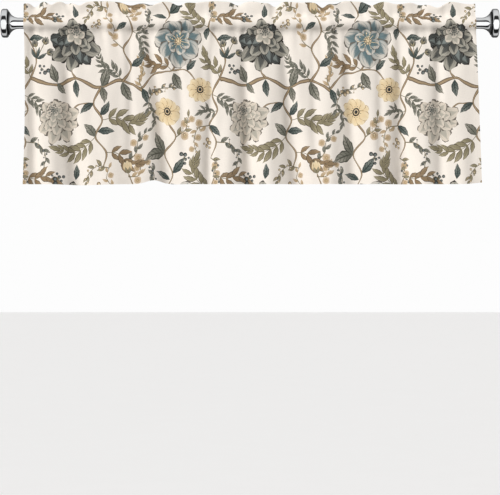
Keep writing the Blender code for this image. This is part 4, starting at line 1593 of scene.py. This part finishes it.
def thread_finish(tint):
    """Twisted sewing thread."""
    finish, w, shader = new_finish("sewing_thread")
    position = w.node("ShaderNodeTexCoord").outputs["Object"]
    twist = w.noise(position, 1800.0, 1.0, (1.0, 0.6, 1.4))
    w.feed(shader["Base Color"], w.mix(w.ramp(twist, 0.3, 0.7), solid(tint, 0.72), solid(tint)))
    w.feed(shader["Roughness"], w.ramp(twist, 0.0, 1.0, 0.55, 0.75))
    bumped(w, shader, twist, 0.4, 0.00008)
    return finish


def chrome_finish(finishes):
    """Polished chrome plate with faint smears and hairlines; painted shade darkens the finials' grooves."""
    finish, w, shader = new_finish("polished_chrome")
    position = w.node("ShaderNodeTexCoord").outputs["Object"]
    wear = w.group(wear_group(), Position=position, Least_roughness=finishes.polish, Smear=0.05)
    painted_recess_shade = w.node("ShaderNodeAttribute", attribute_name="painted_recess_shade").outputs["Fac"]
    plated = w.mix(wear["Smear mask"], solid(finishes.chrome), solid(finishes.chrome, 0.88))
    # Painted shade: the groove and the end of the flare are mixed towards a dark tint.
    w.feed(shader["Base Color"], w.mix(painted_recess_shade, plated, solid(finishes.painted_recess_shade)))
    w.feed(shader["Roughness"], w.math("MAXIMUM", wear["Roughness"], w.times(painted_recess_shade, 0.6)))
    shader["Metallic"].default_value = 1.0
    bumped(w, shader, wear["Height"], 0.05, 0.00002)
    return finish


def pale_finish(name, tint):
    """Matt paint for the studio floor."""
    finish, w, shader = new_finish(name)
    position = w.node("ShaderNodeTexCoord").outputs["Object"]
    grain = w.noise(position, 3.0, 4.0)
    w.feed(shader["Base Color"], w.mix(grain, solid(tint, 0.98), solid(tint)))
    shader["Roughness"].default_value = 0.9
    return finish


# ---------------------------------------------------------------- settings

def length(title, note, default, least=0.0):
    """A length property in metres."""
    return FloatProperty(name=title, description=note, default=default, min=least, subtype="DISTANCE",
                         unit="LENGTH", precision=5)


def amount(title, note, default, least=0.0, most=1.0):
    """A plain number."""
    return FloatProperty(name=title, description=note, default=default, min=least, max=most)


def tint(title, note, *values):
    """A colour property from sRGB values of 0 to 255."""
    return FloatVectorProperty(name=title, description=note, subtype="COLOR_GAMMA", size=3, min=0.0, max=1.0,
                               default=tuple(value / 255 for value in values))


class ClothSizes(bpy.types.PropertyGroup):
    thickness: length("Thickness", "Thickness of the cotton", 0.0008, 0.0002)
    ripple: length("Seam ripple", "Depth of the small ripples that the seams draw in", 0.0028)
    crease: length("Crease", "Depth of the faint creases of the handled cloth", 0.0007)
    mesh_step: amount("Mesh step", "Spacing of the mesh's filling points, in millimetres", 6.5, 3.0, 20.0)
    stitch_length: length("Stitch length", "Length of thread seen between two needle holes", 0.0030)
    stitch_pitch: length("Stitch pitch", "Distance from stitch to stitch", 0.0042, 0.002)
    thread: length("Thread", "Thickness of the sewing thread", 0.00045)


class PrintTints(bpy.types.PropertyGroup):
    ground: tint("Ground", "Unprinted cloth, seen from the front", 249, 240, 229)
    reverse: tint("Reverse", "Unprinted cloth, seen from behind", 243, 234, 223)
    show_through: amount("Show-through", "How far the print shows on the reverse", 0.26)
    sky: tint("Sky", "Tips of the teal leaves", 144, 148, 140)
    blue: tint("Blue", "Blue bloom", 134, 150, 152)
    deep_blue: tint("Deep blue", "Flames and lines of the blue bloom", 84, 112, 118)
    mist: tint("Mist", "Pale petal edges", 216, 209, 198)
    pale: tint("Pale", "Pale bloom", 224, 212, 196)
    navy: tint("Navy", "Dark bloom and berries", 70, 72, 70)
    slate: tint("Slate", "Petals of the dark bloom", 132, 138, 134)
    charcoal: tint("Charcoal", "Lines of the dark bloom", 50, 46, 42)
    grey: tint("Grey", "Lines of the pale and blue blooms", 108, 101, 92)
    butter: tint("Butter", "Cream petals", 243, 224, 188)
    straw: tint("Straw", "Roots of the cream petals", 228, 200, 156)
    sand: tint("Sand", "Flames of the cream petals", 236, 212, 170)
    ochre: tint("Ochre", "Lines of the small blossoms", 194, 166, 124)
    blush: tint("Blush", "Small blossoms", 222, 202, 178)
    brown: tint("Brown", "Branches and brown leaves", 142, 120, 92)
    umber: tint("Umber", "Dark side of the branches", 78, 67, 54)
    tan: tint("Tan", "Light side of the branches", 176, 154, 124)
    olive: tint("Olive", "Olive leaves", 140, 131, 104)
    khaki: tint("Khaki", "Tips of the olive leaves", 186, 175, 148)
    sage: tint("Sage", "Grey-green leaves", 122, 122, 110)
    moss: tint("Moss", "Lines of the grey-green leaves", 82, 82, 72)
    fog: tint("Fog", "Tips of the grey-green leaves", 176, 171, 158)
    teal: tint("Teal", "Teal leaves", 80, 90, 86)
    pine: tint("Pine", "Lines of the teal leaves", 46, 54, 52)


class Finishes(bpy.types.PropertyGroup):
    threads: amount("Threads per metre", "Threads in a metre of the weave", 2200.0, 500.0, 6000.0)
    ink_unevenness: amount("Ink unevenness", "How unevenly the ink lies", 1.0, 0.0, 3.0)
    sewing: tint("Sewing thread", "Thread of the seams and hems", 240, 232, 220)
    chrome: tint("Chrome", "Polished metal", 238, 239, 240)
    # Painted shade: the tint that darkens a finial's groove and the end of its flare; the metal itself is not
    # dark there.
    painted_recess_shade: tint("Recess", "Dark metal in a finial's groove and on the end of its flare", 30, 30, 31)
    polish: amount("Polish", "Least roughness of the chrome", 0.05)
    turned_sides: IntProperty(name="Finial sides", description="Flat sides round a finial", default=96,
                              min=24, max=256)


class StageSettings(bpy.types.PropertyGroup):
    camera_distance: length("Camera distance", "From the rod's axis to the camera", 5.0, 1.0)
    camera_height: length("Camera height", "Level of the camera against the rod's axis", -0.5695, -5.0)
    view_width: length("View width", "Width seen at the rod", 1.270, 0.1)
    floor_level: length("Floor level", "Level of the floor against the rod's axis", -2.05, -10.0)
    floor: tint("Floor", "Studio floor", 253, 252, 251)
    surroundings: tint("Surroundings", "Light all round", 253, 253, 253)
    key_power: amount("Key light", "Strength of the soft light from the upper left", 2.62, most=20.0)
    ambient: amount("Ambient", "Strength of the light all round", 0.33, most=5.0)


# ---------------------------------------------------------------- operators

SHEETS = {}


def hung_sheet(sizes):
    """The hung sheet of the present sizes, worked out once."""
    key = (sizes.ripple, sizes.crease)
    if key not in SHEETS:
        SHEETS[key] = Sheet(*key)
    return SHEETS[key]


class VALANCE_OT_cloth(bpy.types.Operator):
    """Sew the seams and hems"""
    bl_idname = "valance.cloth"
    bl_label = "Printed cloth"

    def execute(self, context):
        scene = context.scene
        sheet = hung_sheet(scene.valance_cloth)
        mesh = cloth_mesh(sheet, scene.valance_cloth, scene.valance_print)
        cloth = piece("valance_cloth", mesh, cotton_finish(scene.valance_finishes))
        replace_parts(cloth, "valance")
        cloth.visible_glossy = False
        return {"FINISHED"}


class VALANCE_OT_stitching(bpy.types.Operator):
    """Sew the seams and hems, and say what the cloth was cut to"""
    bl_idname = "valance.stitching"
    bl_label = "Stitching"

    def execute(self, context):
        scene = context.scene
        sheet = hung_sheet(scene.valance_cloth)
        mesh = stitching_mesh(sheet, scene.valance_cloth)
        thread = thread_finish(scene.valance_finishes.sewing)
        stitches = piece("valance_stitching", mesh, thread)
        stitches.visible_glossy = False
        return {"FINISHED"}


def shared_chrome(finishes):
    """The chrome of the rod and both finials, made once."""
    return bpy.data.materials.get("polished_chrome") or chrome_finish(finishes)


class VALANCE_OT_rod(bpy.types.Operator):
    """Give the rod its chrome"""
    bl_idname = "valance.rod"
    bl_label = "Rod"

    def execute(self, context):
        finish = shared_chrome(context.scene.valance_finishes)
        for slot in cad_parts["rod"].material_slots:
            slot.material = finish
        return {"FINISHED"}


class VALANCE_OT_finials(bpy.types.Operator):
    """Turn the two finials"""
    bl_idname = "valance.finials"
    bl_label = "Finials"

    def execute(self, context):
        finishes = context.scene.valance_finishes
        finish = shared_chrome(finishes)
        for node, side in (("finial_left", -1), ("finial_right", 1)):
            mesh = turned_mesh(node + "_turned", finial_profile(), side, finishes.turned_sides)
            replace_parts(piece(node + "_turned", mesh, finish), node)
        return {"FINISHED"}


# What shiny things see: the angle in degrees round the X axis, from -180 to 180, and the brightness there.
BANDS = (
    (-180, 0.05), (-128, 0.06), (-117, 0.50), (-98, 0.45), (-90, 0.01), (-58, 0.01), (-49, 0.95),
    (18, 1.0), (27, 0.02), (52, 0.02), (63, 0.62), (112, 0.55), (146, 0.12), (180, 0.05),
)


def studio_world(settings):
    """Even pale light; shiny things see bright and dark bands instead, by their angle round the X axis."""
    world = bpy.data.worlds.new("studio")
    bpy.context.scene.world = world
    world.use_nodes = True
    w = Wiring(world.node_tree)
    ground = world.node_tree.nodes["Background"].inputs
    parts = w.node("ShaderNodeSeparateXYZ")
    w.feed(parts.inputs[0], w.node("ShaderNodeTexCoord").outputs["Generated"])
    height = w.math("ARCTAN2", parts.outputs[2], w.times(parts.outputs[1], -1.0))
    bands = w.node("ShaderNodeValToRGB")
    w.feed(bands.inputs[0], w.ramp(height, -math.pi, math.pi, kind="LINEAR"))
    ramp = bands.color_ramp
    ramp.elements[0].position = 0.0
    ramp.elements[1].position = 1.0
    for angle, _ in BANDS[1:-1]:
        ramp.elements.new((angle + 180) / 360)
    for element, (_, brightness) in zip(ramp.elements, BANDS):
        element.color = (brightness, brightness, brightness, 1.0)
    glossy = w.node("ShaderNodeLightPath").outputs["Is Glossy Ray"]
    w.feed(ground["Color"], w.mix(glossy, solid(settings.surroundings), bands.outputs[0]))
    camera = w.node("ShaderNodeLightPath").outputs["Is Camera Ray"]
    seen = w.math("MAXIMUM", glossy, camera)
    light = w.times(settings.ambient, w.plus(1.0, w.times(parts.outputs[2], 0.35)))
    hidden_part = w.times(light, w.minus(1.0, seen))
    seen_part = w.times(seen, w.plus(1.0, w.times(glossy, 0.25)))
    w.feed(ground["Strength"], w.plus(hidden_part, seen_part))


def soft_light(name, around, above, strength, spread):
    """A far soft light, from angles in degrees round from the front (to the right) and above the level.

    It is left out of reflections, where the world's bands stand for it.
    """
    data = bpy.data.lights.new(name, "SUN")
    data.energy = strength
    data.angle = math.radians(spread)
    light = linked(name, data)
    light.rotation_euler = (math.radians(90 - above), 0.0, math.radians(around))
    light.location = (2.0 * math.sin(math.radians(around)), -2.0 * math.cos(math.radians(around)), 1.5)
    light.visible_glossy = False


class VALANCE_OT_stage(bpy.types.Operator):
    """Set the floor, the soft light and the camera"""
    bl_idname = "valance.stage"
    bl_label = "Studio stage"

    def execute(self, context):
        scene = context.scene
        settings = scene.valance_stage
        corners = [(x * FLOOR_HALF, y * FLOOR_HALF, settings.floor_level)
                   for x, y in ((-1, -1), (1, -1), (1, 1), (-1, 1))]
        mesh = bpy.data.meshes.new("studio_floor")
        mesh.from_pydata(corners, [], [(0, 1, 2, 3)])
        mesh.materials.append(pale_finish("studio_floor", settings.floor))
        floor = linked("studio_floor", mesh)
        studio_world(settings)
        floor.visible_glossy = False
        floor.visible_diffuse = False
        soft_light("key", -42.0, 24.0, settings.key_power, 20.0)
        soft_light("back light", 150.0, 30.0, settings.key_power * 0.4, 40.0)
        data = bpy.data.cameras.new("camera")
        data.sensor_width = 36.0
        data.lens = data.sensor_width * settings.camera_distance / settings.view_width
        camera = linked("camera", data)
        camera.location = (0.0, -settings.camera_distance, settings.camera_height)
        camera.rotation_euler = (math.pi / 2, 0.0, 0.0)
        scene.camera = camera
        scene.view_settings.view_transform = "Standard"
        return {"FINISHED"}


class VALANCE_PT_panel(bpy.types.Panel):
    """Sizes, colours and the steps that make the valance"""
    bl_idname = "VALANCE_PT_panel"
    bl_label = "Window valance"
    bl_space_type = "VIEW_3D"
    bl_region_type = "UI"
    bl_category = "Valance"

    def draw(self, context):
        scene = context.scene
        for name, steps in STEPS:
            group = getattr(scene, name)
            box = self.layout.box()
            for key in group.bl_rna.properties.keys():
                if key not in ("rna_type", "name"):
                    box.prop(group, key)
            for step in steps:
                box.operator(step)


GROUPS = (
    ("valance_cloth", ClothSizes),
    ("valance_print", PrintTints),
    ("valance_finishes", Finishes),
    ("valance_stage", StageSettings),
)
STEPS = (
    ("valance_cloth", ("valance.cloth", "valance.stitching")),
    ("valance_print", ()),
    ("valance_finishes", ("valance.rod", "valance.finials")),
    ("valance_stage", ("valance.stage",)),
)
CLASSES = (
    ClothSizes, PrintTints, Finishes, StageSettings, VALANCE_OT_cloth, VALANCE_OT_stitching,
    VALANCE_OT_rod, VALANCE_OT_finials, VALANCE_OT_stage, VALANCE_PT_panel,
)


def register():
    for kind in CLASSES:
        bpy.utils.register_class(kind)
    for name, kind in GROUPS:
        setattr(bpy.types.Scene, name, PointerProperty(type=kind))


def unregister():
    for name, _ in GROUPS:
        delattr(bpy.types.Scene, name)
    for kind in reversed(CLASSES):
        bpy.utils.unregister_class(kind)


def main():
    register()
    bpy.ops.valance.cloth()
    bpy.ops.valance.stitching()
    bpy.ops.valance.rod()
    bpy.ops.valance.finials()
    bpy.ops.valance.stage()


if __name__ == "__main__":
    main()
